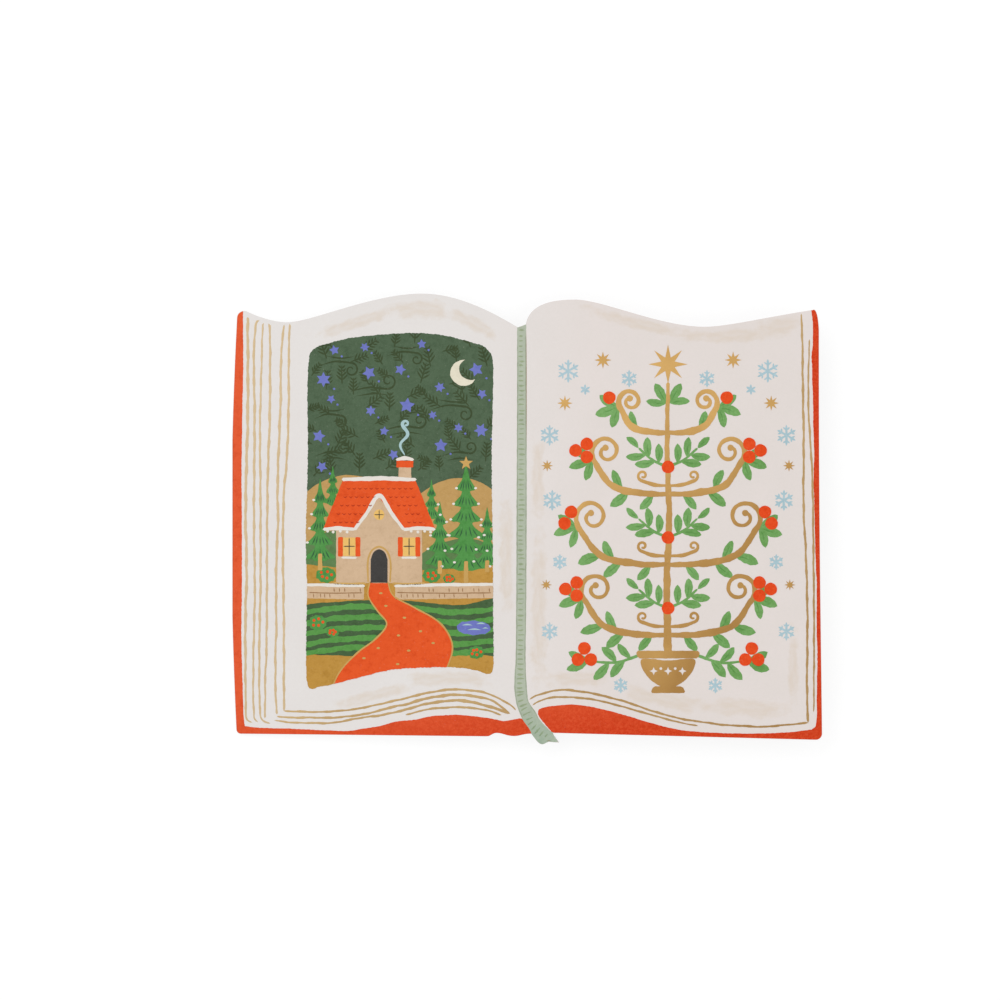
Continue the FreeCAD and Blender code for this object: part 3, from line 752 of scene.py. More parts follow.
page_lines = [stroke(way, width, seed=seed + 40, spacing=0.5, roughness=0.26)
              for seed, (way, width) in enumerate(PAGE_LINES)]
# the lines down the left side are paler than the others
for name, lines, layer, finish in (("page_lines_left", page_lines[:6], 1, line_gold),
                                   ("page_lines_low", page_lines[6:], 2, low_gold)):
    lay_print(name, [loop for loop, ridge in lines], layer, finish,
              ridge=[ridge for loop, ridge in lines], ridge_lift=0.014)

# Bookmark ribbon
# A woven ribbon bookmark, printed in grey green over the gutter and the red cover. It has short
# cross ribs in darker green, and its swallow-tail end hangs past the bottom edge as part of the cut.


def pen(points, width, **habits):
    """Draws a pen stroke and gives only its loop."""
    loop, _ = stroke(points, width, **habits)
    return loop


RIBBON_LEFT = [
    (-2.28, 46.4), (-2.3, 43), (-2.32, 28.2), (-2.43, 4.5), (-2.52, -19.2), (-2.67, -33.4), (-2.95, -37.9),
    (-2.85, -41.5), (-2.22, -44.6), (-1.15, -47.2), (0.86, -50.25), (1.6, -52.2)]
RIBBON_RIGHT = [
    (6.15, -50.5), (5.58, -50.2), (4.25, -48.95), (2.81, -47.17), (1.93, -45.51), (0.98, -44.2),
    (0.27, -42.9), (0.13, -41.5), (-0.2, -37), (-0.3, -33.4), (-0.15, -19.2), (-0.05, 4.5), (-0.1, 28.2),
    (-0.2, 43.5), (-0.16, 47.4)]
ribbon_loop = np.vstack([
    smooth(RIBBON_LEFT), [(1.6, -56), (11, -56), (8.9, -52.6)], smooth(RIBBON_RIGHT), [(-2.28, 48)]])
# painted shade: the ribbon's green is painted deeper towards the bottom of its tail
ribbon_green = ink("ribbon_green", (173, 182, 163), thin=8, dark=-16, cloud=0.5, grain=0.4, specks=0.1,
                   deep=(148, 169, 148), right=0, painted_shade_down=1)
lay_print("ribbon", [waver(ribbon_loop, 0.04, 4, 21)], 1, ribbon_green, limit=page_limit)

draw = random.Random(5)
left_line = smooth(RIBBON_LEFT, 0.25)
right_line = smooth(RIBBON_RIGHT[::-1], 0.25)
rib_loops = []
y = 44.6
while y > -48.7:
    left = left_line[np.argmin(np.abs(left_line[:, 1] - y))]
    right = right_line[np.argmin(np.abs(right_line[:, 1] - y))]
    if y < -41:
        # in the tail the ribs turn with the ribbon
        right = right_line[np.argmin(np.linalg.norm(right_line - (left + (2.3, 0.9)), axis=1))]
    span = right - left
    start = left + span * draw.uniform(0.08, 0.2)
    end = left + span * draw.uniform(0.66, 0.88)
    middle = (start + end) / 2 + (0, draw.uniform(-0.12, 0.12))
    rib_loops.append(pen([start, middle, end], (0.3, draw.uniform(0.34, 0.52), 0.2), seed=int(y * 10) + 900,
                         spacing=0.3, roughness=0.3))
    y -= draw.uniform(0.98, 1.34)
for start, end, width in (((0.2, -48.8), (1.6, -47.8), 0.36), ((1, -50), (2.3, -48.6), 0.4),
                          ((1.8, -50.9), (3.2, -49.3), 0.5), ((2.9, -51.5), (4, -50.1), 0.42),
                          ((4.2, -51.7), (4.9, -50.9), 0.34)):
    rib_loops.append(pen([start, end], (0.2, width, 0.15), seed=3, spacing=0.3))
# painted shade: the ribs are painted deeper towards the bottom of the tail
rib_green = ink("rib_green", (145, 159, 127), thin=18, dark=-12, cloud=0.6, grain=0.5,
                deep=(112, 138, 108), right=0, painted_shade_down=1)
lay_print("ribbon_ribs", rib_loops, 2, rib_green, limit=page_limit)

left_selvedge = np.array(RIBBON_LEFT[1:10]) + (0.16, 0)
right_selvedge = np.array(RIBBON_RIGHT[3:14]) - (0.14, 0)
selvedge = [
    pen(left_selvedge, (0.1, 0.2, 0.14, 0.22, 0.16, 0.2, 0.1), seed=16, roughness=0.5),
    pen(right_selvedge, (0.1, 0.18, 0.14, 0.2, 0.14, 0.18, 0.1), seed=17, roughness=0.5)]
selvedge_grey = ink("selvedge_grey", (150, 160, 136), thin=14, dark=-14)
lay_print("ribbon_selvedge", selvedge, 2, selvedge_grey, limit=page_limit)

shade_loops = [
    pen([(-0.2, 44.8), (-0.14, 38), (-0.12, 30), (-0.1, 18)], (0.12, 0.16, 0.1), seed=7, ends=(0, 0),
        point_length=4),
    pen([(4.6, -52.55), (5.3, -52.5), (5.9, -52.6)], (0.12, 0.2, 0.1), seed=8, ends=(0, 0), point_length=0.6)]
shade_brown = ink("shade_brown", (150, 138, 112), thin=14, dark=-10)
lay_print("ribbon_shade", shade_loops, 3, shade_brown, limit=page_limit)

# Picture on the left page
# A small winter landscape with an arched top and brushed edges: a night sky over firs, a cottage and
# striped fields. Each colour is a layer of flat ink of its own, printed one over another.

PICTURE_EDGE = [
    (-52.1, -38.6), (-51.75, -39.9), (-51, -40.3), (-49.4, -39.85), (-46, -39.2), (-42.25, -38.2),
    (-38.5, -37.25), (-34.7, -36.25), (-31, -35.6), (-25.2, -35.25), (-19.5, -35.1), (-15.4, -35.3),
    (-11.9, -35.9), (-9.6, -36.65), (-8.4, -36.5), (-8.05, -35.6), (-8, -22), (-8.1, -5), (-8.3, 8),
    (-8.3, 18), (-8.1, 26), (-8.1, 37.8), (-8.5, 39), (-10, 40.75), (-12, 41.5), (-15.7, 42.55),
    (-19.5, 43.45), (-23.3, 43.9), (-27.1, 44.05), (-32.8, 43.8), (-38.5, 43.3), (-42.3, 42.8), (-46, 41.9),
    (-49.65, 40.8), (-50.6, 40.2), (-51.3, 39.3), (-51.65, 37.8), (-52, 31), (-51.9, 18), (-52.05, 8),
    (-52.38, -3), (-52.3, -10), (-52.1, -16), (-52.25, -26), (-52.3, -35)]


def ray(turn):
    """Gives the unit direction at an angle."""
    return np.array([math.cos(turn), math.sin(turn)])


def disc(centre, radius, seed, flat=1.0):
    """Draws a round spot, a little uneven."""
    turn = np.linspace(0, 2 * math.pi, max(12, int(radius * 20)), endpoint=False)
    ring = np.column_stack([centre[0] + radius * np.cos(turn), centre[1] + radius * flat * np.sin(turn)])
    return waver(ring, radius * 0.035, radius * 2.4, seed)


def star(centre, points, long, short, turn=90.0):
    """Draws a star with its first point at the given angle."""
    angles = np.radians(turn) + np.arange(2 * points) * math.pi / points
    reach = np.where(np.arange(2 * points) % 2 == 0, long, short)
    return np.array(centre) + reach[:, None] * np.column_stack([np.cos(angles), np.sin(angles)])


def leaf(foot, tip, width, seed, hook):
    """Draws an oval leaf, broadest past its middle, with its rib bent to one side by the hook."""
    foot, tip = np.array(foot, float), np.array(tip, float)
    share = np.linspace(0, 1, 12)[:, None]
    axis = tip - foot
    across = np.array([-axis[1], axis[0]]) / np.linalg.norm(axis)
    rib = foot + axis * share + across * hook * np.sin(math.pi * share)
    half = across * width / 2 * np.sin(math.pi * share ** 1.15) ** 0.62
    return waver(np.vstack([rib + half, (rib - half)[-2:0:-1]]), width * 0.03, 1.6, seed)


def patch(corners, seed, soft=0.18):
    """Draws a shape with straight sides and slightly softened corners."""
    corners = np.array(corners, float)
    ring = []
    for before, corner, after in zip(np.roll(corners, 1, 0), corners, np.roll(corners, -1, 0)):
        back, on = before - corner, after - corner
        start = corner + on * min(0.4, soft / np.linalg.norm(on))
        stop = after - on * min(0.4, soft / np.linalg.norm(on))
        ring.append(corner + back * min(0.4, soft / np.linalg.norm(back)))
        count = max(1, round(float(np.linalg.norm(stop - start)) / 0.6))
        ring.extend(start + (stop - start) * i / count for i in range(count))
    return waver(np.array(ring), 0.05, 2.6, seed)


def mound(crest, floor_y, seed):
    """Draws a hill from the line of its crest down to a level."""
    line = smooth(crest, 0.6)
    return waver(np.vstack([line, [(line[-1, 0], floor_y), (line[0, 0], floor_y)]]), 0.06, 4, seed)


def curl(points, size, turns, way):
    """Carries a line on into a shrinking spiral at its end. It winds left for a way of 1, right for -1."""
    line = smooth(points, 0.5)
    heading = line[-1] - line[-2]
    heading /= np.linalg.norm(heading)
    centre = line[-1] + np.array([-heading[1], heading[0]]) * size * way
    start = math.atan2(line[-1, 1] - centre[1], line[-1, 0] - centre[0])
    share = np.linspace(0, 1, int(turns * 16))[1:]
    angle = start + way * 2 * math.pi * turns * share
    reach = (size * (1 - 0.76 * share))[:, None]
    return np.vstack([line, centre + reach * np.column_stack([np.cos(angle), np.sin(angle)])])


def box(left, low, right, high, seed):
    """Draws an upright rectangle."""
    return patch([(left, low), (right, low), (right, high), (left, high)], seed)


picture_edge = waver(waver(smooth(PICTURE_EDGE, 0.3, closed=True), 0.08, 3.5, 31), 0.06, 0.9, 32)


def paint(name, shapes, layer, finish, cut_out=()):
    """Prints one colour of the picture, cut off at the picture's edge."""
    lay_print(name, shapes, layer, finish, cut_out, picture_edge)


# night sky, with curls of wind and sprigs of fir a shade darker
night_green = ink("night_green", (75, 95, 71), thin=14, dark=-20, cloud=0.5, grain=0.5)
lay_print("picture_night", [picture_edge], 0, night_green)

wind = []
for x, y, size, way, reach in (
        (-41.5, 37, 1.7, -1, 8), (-26, 39.3, 1.5, -1, 7.5), (-33, 30.8, 1.9, 1, 9.5),
        (-14.5, 26.6, 1.8, -1, 8.5), (-44, 24.5, 1.6, -1, 6.5), (-25.5, 21.6, 1.7, 1, 9),
        (-13.5, 15.5, 1.5, 1, 7), (-43.5, 15.6, 1.4, 1, 7)):
    gust = curl([(x - reach, y - 0.8), (x - reach * 0.5, y + 0.3), (x, y)], size, 1.2, way)
    wind.append(pen(gust, (0.15, 0.5, 0.42, 0.3), seed=int(x * 7), ends=(0, 1), point_length=3))
    gust = [(x - reach * 0.8, y - 1.7 * way), (x - reach * 0.3, y - 1.1 * way), (x + 1, y - 1.6 * way)]
    wind.append(pen(gust, (0.15, 0.4, 0.15), seed=int(x * 5), ends=(0, 0), point_length=2))
draw = random.Random(77)
for number in range(63):
    # sprigs of fir needles adrift between the curls
    x = -51.5 + 6.4 * (number % 7) + 3.2 * (number // 7 % 2) + draw.uniform(-1.4, 1.4)
    y = 10.5 + 3.75 * (number // 7) + draw.uniform(-1.3, 1.3)
    turn, length = draw.uniform(0.2, 2.9), draw.uniform(3.6, 5.2)
    wind.append(pen([(x, y), np.array([x, y]) + ray(turn) * length], (0.24, 0.42, 0.2), seed=number))
    for share in (0.22, 0.42, 0.62, 0.82):
        for side in (-0.8, 0.8):
            foot = np.array([x, y]) + ray(turn) * length * share
            needle = ray(turn + side) * length * (0.5 - 0.3 * share)
            wind.append(pen([foot, foot + needle], (0.24, 0.42, 0.16), seed=number))
wind_green = ink("wind_green", (59, 73, 46), thin=10, dark=-8, cloud=0.6, grain=0.4)
paint("picture_wind", wind, 1, wind_green)

STARS = [
    # place across, place up, size
    (-48.2, 33, 1.25), (-45.6, 40, 0.85), (-37.4, 34.6, 1.15), (-38.4, 40.7, 0.8), (-30, 35.4, 0.95),
    (-28.4, 26.9, 1.3), (-20.6, 31.2, 0.9), (-12, 35.4, 1.2), (-10.6, 29.6, 0.85), (-37, 25.6, 0.9),
    (-49.3, 19.6, 1.1), (-20.4, 17.4, 1.15), (-10.9, 21, 1.2), (-31.6, 15.2, 0.9), (-46.4, 28.4, 0.75),
    (-22.3, 24.6, 0.75), (-33.8, 20.8, 0.8), (-24.9, 41.4, 0.8), (-16.2, 21.6, 0.8), (-48.6, 12.4, 0.95)]
stars = []
for number, (x, y, size) in enumerate(STARS):
    size = 1.45 * size
    points = star((x, y), 5 if number % 3 else 6, size, size * 0.52, 90 + number * 13)
    stars.append(waver(points, 0.05, 1, number))
    stars.append(disc((x + 1.4 * size, y - 1.2 * size), 0.26, number))
star_blue = ink("star_blue", (108, 116, 186), thin=14, dark=-16)
paint("picture_stars", stars, 2, star_blue)

moon_pale = ink("moon_pale", (224, 217, 196), thin=8, dark=-16, cloud=0.6)
lay_print("picture_moon", [disc((-15, 34.6), 3.1, 3)], 3, moon_pale, cut_out=[disc((-13.4, 35.5), 2.6, 4)])

# hills behind the cottage, and the fields before it
back_hills = [
    mound([(-54, 5), (-49, 8.6), (-43, 10.4), (-36, 9), (-28, 4), (-22, -3)], -22, 1),
    mound([(-34, -4), (-27, 4.4), (-20, 9), (-13, 9.4), (-5, 5)], -22, 2)]
stubble_gold = ink("stubble_gold", (186, 148, 90), thin=12, dark=-18, cloud=0.6)
paint("picture_back_hills", back_hills, 2, stubble_gold)

near_hills = [
    mound([(-54, -6.5), (-47, -3), (-39, -3.6), (-31, -8), (-24, -13)], -30, 3),
    mound([(-30, -12), (-22, -6.5), (-14, -4.6), (-5, -7.5)], -30, 4)]
meadow_green = ink("meadow_green", (90, 122, 74), thin=12, dark=-18, cloud=0.6)
paint("picture_near_hills", near_hills, 3, meadow_green)

ground = [mound([(-54, -10.6), (-44, -11.6), (-34, -12.4), (-22, -12), (-13, -11.4), (-5, -10.2)], -24, 5),
          mound([(-54, -30.8), (-44, -32.4), (-30, -32.2), (-16, -31.2), (-5, -32)], -44, 6)]
ground_ochre = ink("ground_ochre", (183, 137, 60), thin=14, dark=-26, cloud=0.6)
paint("picture_ground", ground, 4, ground_ochre)

field_line = smooth([
    (-54, -21.5), (-44, -19.6), (-30, -19.3), (-16, -20.4), (-5, -19.2), (-5, -32), (-16, -31.2),
    (-30, -32.2), (-44, -32.4), (-54, -30.8)], 0.6, closed=True)
field = [waver(field_line, 0.07, 3, 7)]
field_green = ink("field_green", (66, 92, 58), thin=14, dark=-16, cloud=0.6)
paint("picture_field", field, 5, field_green)

furrows = []
for number, drop in enumerate((0, 2.5, 5, 7.5, 9.7)):
    y = -21.2 - drop
    furrows.append(pen([(-54, y - 1.3), (-44, y + 0.2), (-30, y + 0.3), (-16, y - 0.9), (-5, y + 0.3)],
                       (1.1, 1.4, 1.25, 1.45, 1.1), seed=60 + number, roughness=0.2))
furrow_green = ink("furrow_green", (86, 146, 70), thin=14, dark=-22)
paint("picture_furrows", furrows, 6, furrow_green)

way_left = [
    (-37.2, -14.8), (-37.6, -18.2), (-35.4, -21.8), (-33.2, -24.8), (-35.6, -28.2), (-40.5, -32),
    (-44.5, -36.5), (-47, -42)]
way_right = [
    (-22, -42), (-19.2, -36), (-17.6, -30.2), (-20.2, -25), (-27, -20.8), (-31.8, -18), (-33, -14.8)]
way = np.vstack([smooth(way_left, 0.5), smooth(way_right, 0.5)])
way_red = ink("way_red", (222, 82, 32), thin=14, dark=-24, cloud=0.5)
paint("picture_way", [waver(way, 0.07, 3, 8)], 7, way_red)


def fir(x, foot, height, half_width, tiers, seed):
    """Draws a fir: its hanging tiers of branches, its trunk, its branch strokes and the snow on its tips."""
    draw = random.Random(seed)
    boughs, strokes, snow = [], [], []
    step = height / (tiers + 0.6)
    for tier in range(tiers):
        low = foot + 0.12 * height + tier * step * 0.94
        wide = half_width * (1 - 0.72 * tier / tiers)
        high = low + step * 1.75
        hem = [(x + wide * s, low + 0.42 * abs(s) - 0.5 * (1 - abs(s)) + (0.35 if i % 2 else 0))
               for i, s in enumerate(np.linspace(0.84, -0.84, 7))]
        right = [(x, high), (x + wide * 0.4, low + step * 0.72), (x + wide, low + 0.75)]
        left = [(x - wide, low + 0.75), (x - wide * 0.4, low + step * 0.72)]
        boughs.append(patch(right + hem + left, seed + tier, soft=0.3))
        for s in (-0.7, -0.38, 0, 0.36, 0.72):
            fall = [(x + wide * s * 0.45, low + step * draw.uniform(0.55, 0.8)),
                    (x + wide * s * 0.7, low + step * 0.3), (x + wide * s * 0.92, low + 0.25)]
            strokes.append(pen(fall, (0.1, 0.3, 0.12), seed=seed + tier, ends=(0, 0), point_length=0.8))
        for side in (-1, 1):
            tip = (x + side * wide * 0.96, low + 0.85)
            # a tip behind the cottage has no snow to show
            if not (-46 < tip[0] < -24 and tip[1] < -2 or -48.8 < tip[0] < -21.2 and -3 <= tip[1] < 10.4):
                snow.append(disc(tip, 0.36, seed + tier, 0.75))
    top = foot + 0.2 * height
    trunk = patch([(x - 0.55, foot), (x + 0.55, foot), (x + 0.45, top), (x - 0.45, top)], seed)
    return boughs, strokes, snow, trunk


FIRS = [
    # place across, foot, height, half width, tiers
    (-14.4, -15.2, 26, 5.9, 6), (-20.6, -13, 15.6, 3.6, 4), (-49, -12.2, 20, 3.7, 5),
    (-22.6, -1, 9.4, 2.2, 3), (-9.4, -12.6, 14, 3.3, 4), (-46, 2.2, 9.4, 2.2, 3)]
bough_loops, bough_strokes, snow_caps, trunks = [], [], [], []
for number, (x, foot, height, half_width, tiers) in enumerate(FIRS):
    boughs, strokes, snow, trunk = fir(x, foot, height, half_width, tiers, 200 + 20 * number)
    bough_loops += boughs
    bough_strokes += strokes
    snow_caps += snow
    if foot < -3:
        trunks.append(trunk)
fir_green = ink("fir_green", (76, 140, 68), thin=16, dark=-24, cloud=0.5)
paint("picture_firs", bough_loops, 6, fir_green)
bough_dark = ink("bough_dark", (52, 92, 60), thin=8, dark=-8)
paint("picture_boughs", bough_strokes, 7, bough_dark)

# the cottage: plastered walls and chimney, tiled roof, lit windows and a door
walls = [
    box(-45.2, -15.2, -24.8, -1, 1),
    patch([(-40.2, -2), (-29.8, -2), (-35, 5.6)], 2),
    box(-30.4, 4, -27.4, 12.6, 3),
    patch([(-54, -18.8), (-38.6, -19.1), (-38.6, -16.1), (-54, -15.8)], 21),
    patch([(-31.2, -19.1), (-5, -18.7), (-5, -15.7), (-31.2, -16.1)], 22)]
wall_plaster = ink("wall_plaster", (203, 173, 140), thin=12, dark=-18, cloud=0.6)
roof = [
    patch([(-48.2, -2.2), (-43.6, 9.2), (-26.4, 9.2), (-21.8, -2.2)], 4),
    box(-30.9, 12.2, -26.9, 13.8, 5)]
paint("picture_roof", roof, 8, way_red, cut_out=[patch([(-40.6, -2.6), (-29.4, -2.6), (-35, 5.2)], 2)])
paint("picture_walls", walls, 7, wall_plaster)

joints = []
draw = random.Random(23)
for left, right in ((-52, -38.6), (-31.2, -8)):
    course = [(left + 0.3, -17.45), ((left + right) / 2, -17.6), (right - 0.3, -17.5)]
    joints.append(pen(course, 0.24, seed=6))
    x = left + 1.4
    while x < right - 0.8:
        upper = draw.random() < 0.5
        ends = [(x, -16.3), (x + 0.1, -17.4)] if upper else [(x, -17.6), (x + 0.1, -18.8)]
        joints.append(pen(ends, 0.22, seed=int(x)))
        x += draw.uniform(0.9, 1.7)
joint_brown = ink("joint_brown", (150, 112, 76), thin=12, dark=-10)
paint("picture_joints", joints, 8, joint_brown)

tiles = []
for number, y in enumerate((7.4, 5.4, 3.4, 1.4, -0.6)):
    left = -46.6 + (y + 2.2) * 0.4
    x = left
    while x < -70.6 - left:
        # the tiles stop at the gable
        if abs(x + 34.5) > (5.6 - y) * 0.74 + 1.2:
            tile = [(x, y), (x + 0.5, y - 0.35), (x + 1, y)]
            tiles.append(pen(tile, (0.12, 0.24, 0.12), seed=number, spacing=0.3))
        x += 1.35
tile_dark = ink("tile_dark", (172, 52, 22), thin=10, dark=-8)
lay_print("picture_tiles", tiles, 9, tile_dark)

eaves = [
    pen([(-48.4, -2.5), (-44.5, -2.2), (-40.6, -2.5)], (0.7, 0.95, 0.7), seed=1),
    pen([(-40.9, -2.7), (-38, 1.3), (-35, 5.5), (-32, 1.3), (-29.1, -2.7)], (0.7, 0.85, 1, 0.85, 0.7),
        seed=2),
    pen([(-29.4, -2.5), (-25.5, -2.2), (-21.6, -2.5)], (0.7, 0.95, 0.7), seed=3),
    pen([(-43.9, 9.3), (-35, 9.6), (-26.1, 9.3)], (0.8, 1.1, 0.8), seed=4),
    pen([(-31.1, 14), (-28.9, 14.35), (-26.7, 14)], (0.6, 0.95, 0.6), seed=5),
    pen([(-44, -9.2), (-40.2, -9.2)], 0.5, seed=6),
    pen([(-29.8, -9.2), (-26, -9.2)], 0.5, seed=7),
    pen([(-54, -15.6), (-46, -15.7), (-38.3, -15.9)], (0.6, 0.8, 0.6), seed=8),
    pen([(-31.5, -15.9), (-20, -15.6), (-5, -15.5)], (0.6, 0.8, 0.6), seed=9)]
eaves += [disc((x, -2.9 - 0.2 * (i % 2)), 0.34, i)
          for i, x in enumerate((-47.2, -45.9, -44.2, -42.6, -27.4, -25.8, -24.2, -22.8))]
snow_white = ink("snow_white", (226, 220, 211), thin=6, dark=-12)
paint("picture_snow", eaves + snow_caps, 9, snow_white)

lit = [
    box(-43.6, -8.8, -40.6, -4.4, 11),
    box(-29.4, -8.8, -26.4, -4.4, 12),
    disc((-35, 1), 1.25, 13)]
lit_gold = ink("lit_gold", (228, 184, 104), thin=12, dark=-14)
lay_print("picture_windows", lit, 9, lit_gold)

door_arch = smooth([(-37, -9.6), (-36.3, -7.9), (-35, -7.2), (-33.7, -7.9), (-33, -9.6)], 0.3)
joinery = [np.vstack([[(-37, -15.1), (-37, -9.6)], door_arch, [(-33, -15.1)]])]
for x in (-42.1, -27.9):
    joinery.append(pen([(x, -8.8), (x, -4.4)], 0.22, seed=1))
    joinery.append(pen([(x - 1.45, -6.5), (x + 1.45, -6.5)], 0.22, seed=2))
joinery.append(pen([(-35, -0.2), (-35, 2.2)], 0.2, seed=3))
joinery.append(pen([(-36.2, 1), (-33.8, 1)], 0.2, seed=4))
joinery_dark = ink("joinery_dark", (62, 60, 58), thin=12, dark=-8)
lay_print("picture_joinery", joinery, 10, joinery_dark)

shutters = [box(x, -8.9, x + 1.15, -4.3, number) for number, x in enumerate((-44.75, -40.6, -30.55, -26.4))]
lay_print("picture_shutters", shutters, 9, way_red)

# smoke, a frozen pond and gilt trim
smoke_line = curl([(-28.9, 15), (-30, 17.6), (-28.2, 20), (-29.4, 22)], 0.9, 1, -1)
smoke = [pen(smoke_line, (0.3, 0.7, 0.8, 0.5), seed=9)]
smoke_pale = ink("smoke_pale", (165, 194, 196), thin=12, dark=-14)
pond = [waver(disc((-12.6, -25.8), 4, 15, 0.42), 0.12, 3, 4)]
paint("picture_pond", pond, 7, star_blue)
ice = [pen([(x, y), (x + reach * 0.5, y + 0.2), (x + reach, y)], (0.14, 0.34, 0.14), seed=int(reach * 10),
           ends=(0, 0), point_length=0.6)
       for x, y, reach in ((-15.4, -25.2, 2.6), (-12, -24.9, 2.2), (-14.2, -26.3, 3.4), (-10.6, -26, 1.5))]
paint("picture_smoke", smoke + ice, 8, smoke_pale)

door_frame = [
    (-37.6, -15.1), (-37.6, -9.5), (-36.6, -7.4), (-35, -6.6), (-33.4, -7.4), (-32.4, -9.5), (-32.4, -15.1)]
gilt = [
    pen(door_frame, (0.35, 0.45, 0.4, 0.45, 0.35), seed=1, spacing=0.3),
    disc((-33.8, -11.6), 0.26, 2),
    pen([(-46, -15.2), (-42, -15.4), (-38, -15.3)], 0.5, seed=3),
    pen([(-32, -15.3), (-28, -15.4), (-24, -15.2)], 0.5, seed=4),
    star((-14.4, 13.2), 5, 1.7, 0.7)]
for side in (way_left, way_right):
    gilt.append(pen(side, (0.3, 0.4, 0.3), seed=len(side)))
for number, (x, y) in enumerate(((-34.6, -17.6), (-33.4, -20.6), (-29, -23.4), (-25.2, -26.6), (-30.4, -27.6),
                                 (-22.2, -29.4), (-28, -31.2), (-35.2, -30.6), (-38.6, -33), (-30.6, -34.4))):
    gilt.append(disc((x, y), 0.42, number, 0.6))
print_gold = foil("print_gold", (208, 168, 98), (180, 138, 70))
paint("picture_gilt", gilt + trunks, 9, print_gold)

bushes = []
bush_berries = []
draw = random.Random(19)
for number, (x, y, size) in enumerate(((-47.6, -13.3, 2.3), (-22.6, -13.4, 2.1), (-18.4, -14.2, 1.4),
                                       (-49.6, -24.6, 2.2), (-46, -26.8, 1.5), (-12, -31.6, 1.9))):
    bushes.append(waver(disc((x, y), size, number, 0.8), 0.16, 1.4, number))
    for berry in range(5):
        turn, reach = berry * 1.256 + draw.uniform(-0.2, 0.2), draw.uniform(0.4, 0.62) * size
        bush_berries.append(disc((x + reach * math.cos(turn), y + 0.7 * reach * math.sin(turn)), 0.36, berry))
paint("picture_bushes", bushes, 8, fir_green)
paint("picture_berries", bush_berries, 9, way_red)

# Ornament on the right page
# A tree of scrolls in stamped gold foil that grows from a footed bowl, dressed with green leaves, red
# berries and pale blue snow stars. It is drawn the same to both sides of the page's middle.

TREE_X = 33.4
BERRY_RADIUS = 1.5
SCROLLS = [
    # where it leaves the stem, how far it reaches, how far it rises, the size of its curl, its berries
    (-27.5, 20, 8.6, 3.9, 3), (-10.8, 21.2, 8.8, 4.1, 2), (5.9, 17.6, 8, 3.7, 3), (20.4, 11.4, 6, 2.9, 1)]
SCROLL_LEAVES = [
    # how far along the scroll, on its upper or lower side, length
    (0.16, -1, 4.8), (0.44, -1, 5.6), (0.52, 1, 5.2), (0.65, -1, 5.8)]

gold_loops, gold_ridges = [], []
leaves, veins, stems, berries, frost = [], [], [], [], []


def at(x, y, side=1):
    """Gives a point by its distance from the middle of the page, to the right for a side of 1."""
    return (TREE_X + side * x, y)


def gold_stroke(points, width, seed):
    """Adds one foil stroke of the tree."""
    loop, ridge = stroke(points, width, seed=seed)
    gold_loops.append(loop)
    gold_ridges.append(ridge)


def add_leaf(foot, angle, size, seed):
    """Adds a leaf that grows from a point at an angle in degrees, with the mark of its middle rib."""
    foot = np.array(foot, float)
    along = ray(math.radians(angle))
    draw = random.Random(seed)
    hook = draw.uniform(-0.3, 0.3)
    leaves.append(leaf(foot, foot + along * size, size * draw.uniform(0.37, 0.43), seed, hook))
    rib = [foot + along * size * 0.12, foot + along * size * 0.45 + (-along[1] * hook, along[0] * hook),
           foot + along * size * draw.uniform(0.6, 0.74)]
    veins.append(pen(rib, (0.24, 0.28, 0.1), seed=seed, ends=(0, 0), point_length=0.9))


def add_berries(centre, count, turn, seed):
    """Adds a cluster of berries that just touch."""
    reach = 0 if count == 1 else BERRY_RADIUS * (1.04 if count == 2 else 1.18)
    for number in range(count):
        middle = np.array(centre) + reach * ray(math.radians(turn + 360 * number / count))
        berries.append(disc(middle, BERRY_RADIUS, seed + number))


def add_snow_star(centre, reach, seed):
    """Adds a six-armed snow star with short side barbs."""
    centre = np.array(centre, float)
    for arm in range(6):
        turn = math.radians(60 * arm + 30)
        frost.append(pen([centre, centre + ray(turn) * reach], (0.44, 0.52, 0.44), seed=seed + arm))
        foot = centre + ray(turn) * reach * 0.5
        for side in (-0.9, 0.9):
            frost.append(pen([foot, foot + ray(turn + side) * reach * 0.42], (0.34, 0.42, 0.3), seed=seed))


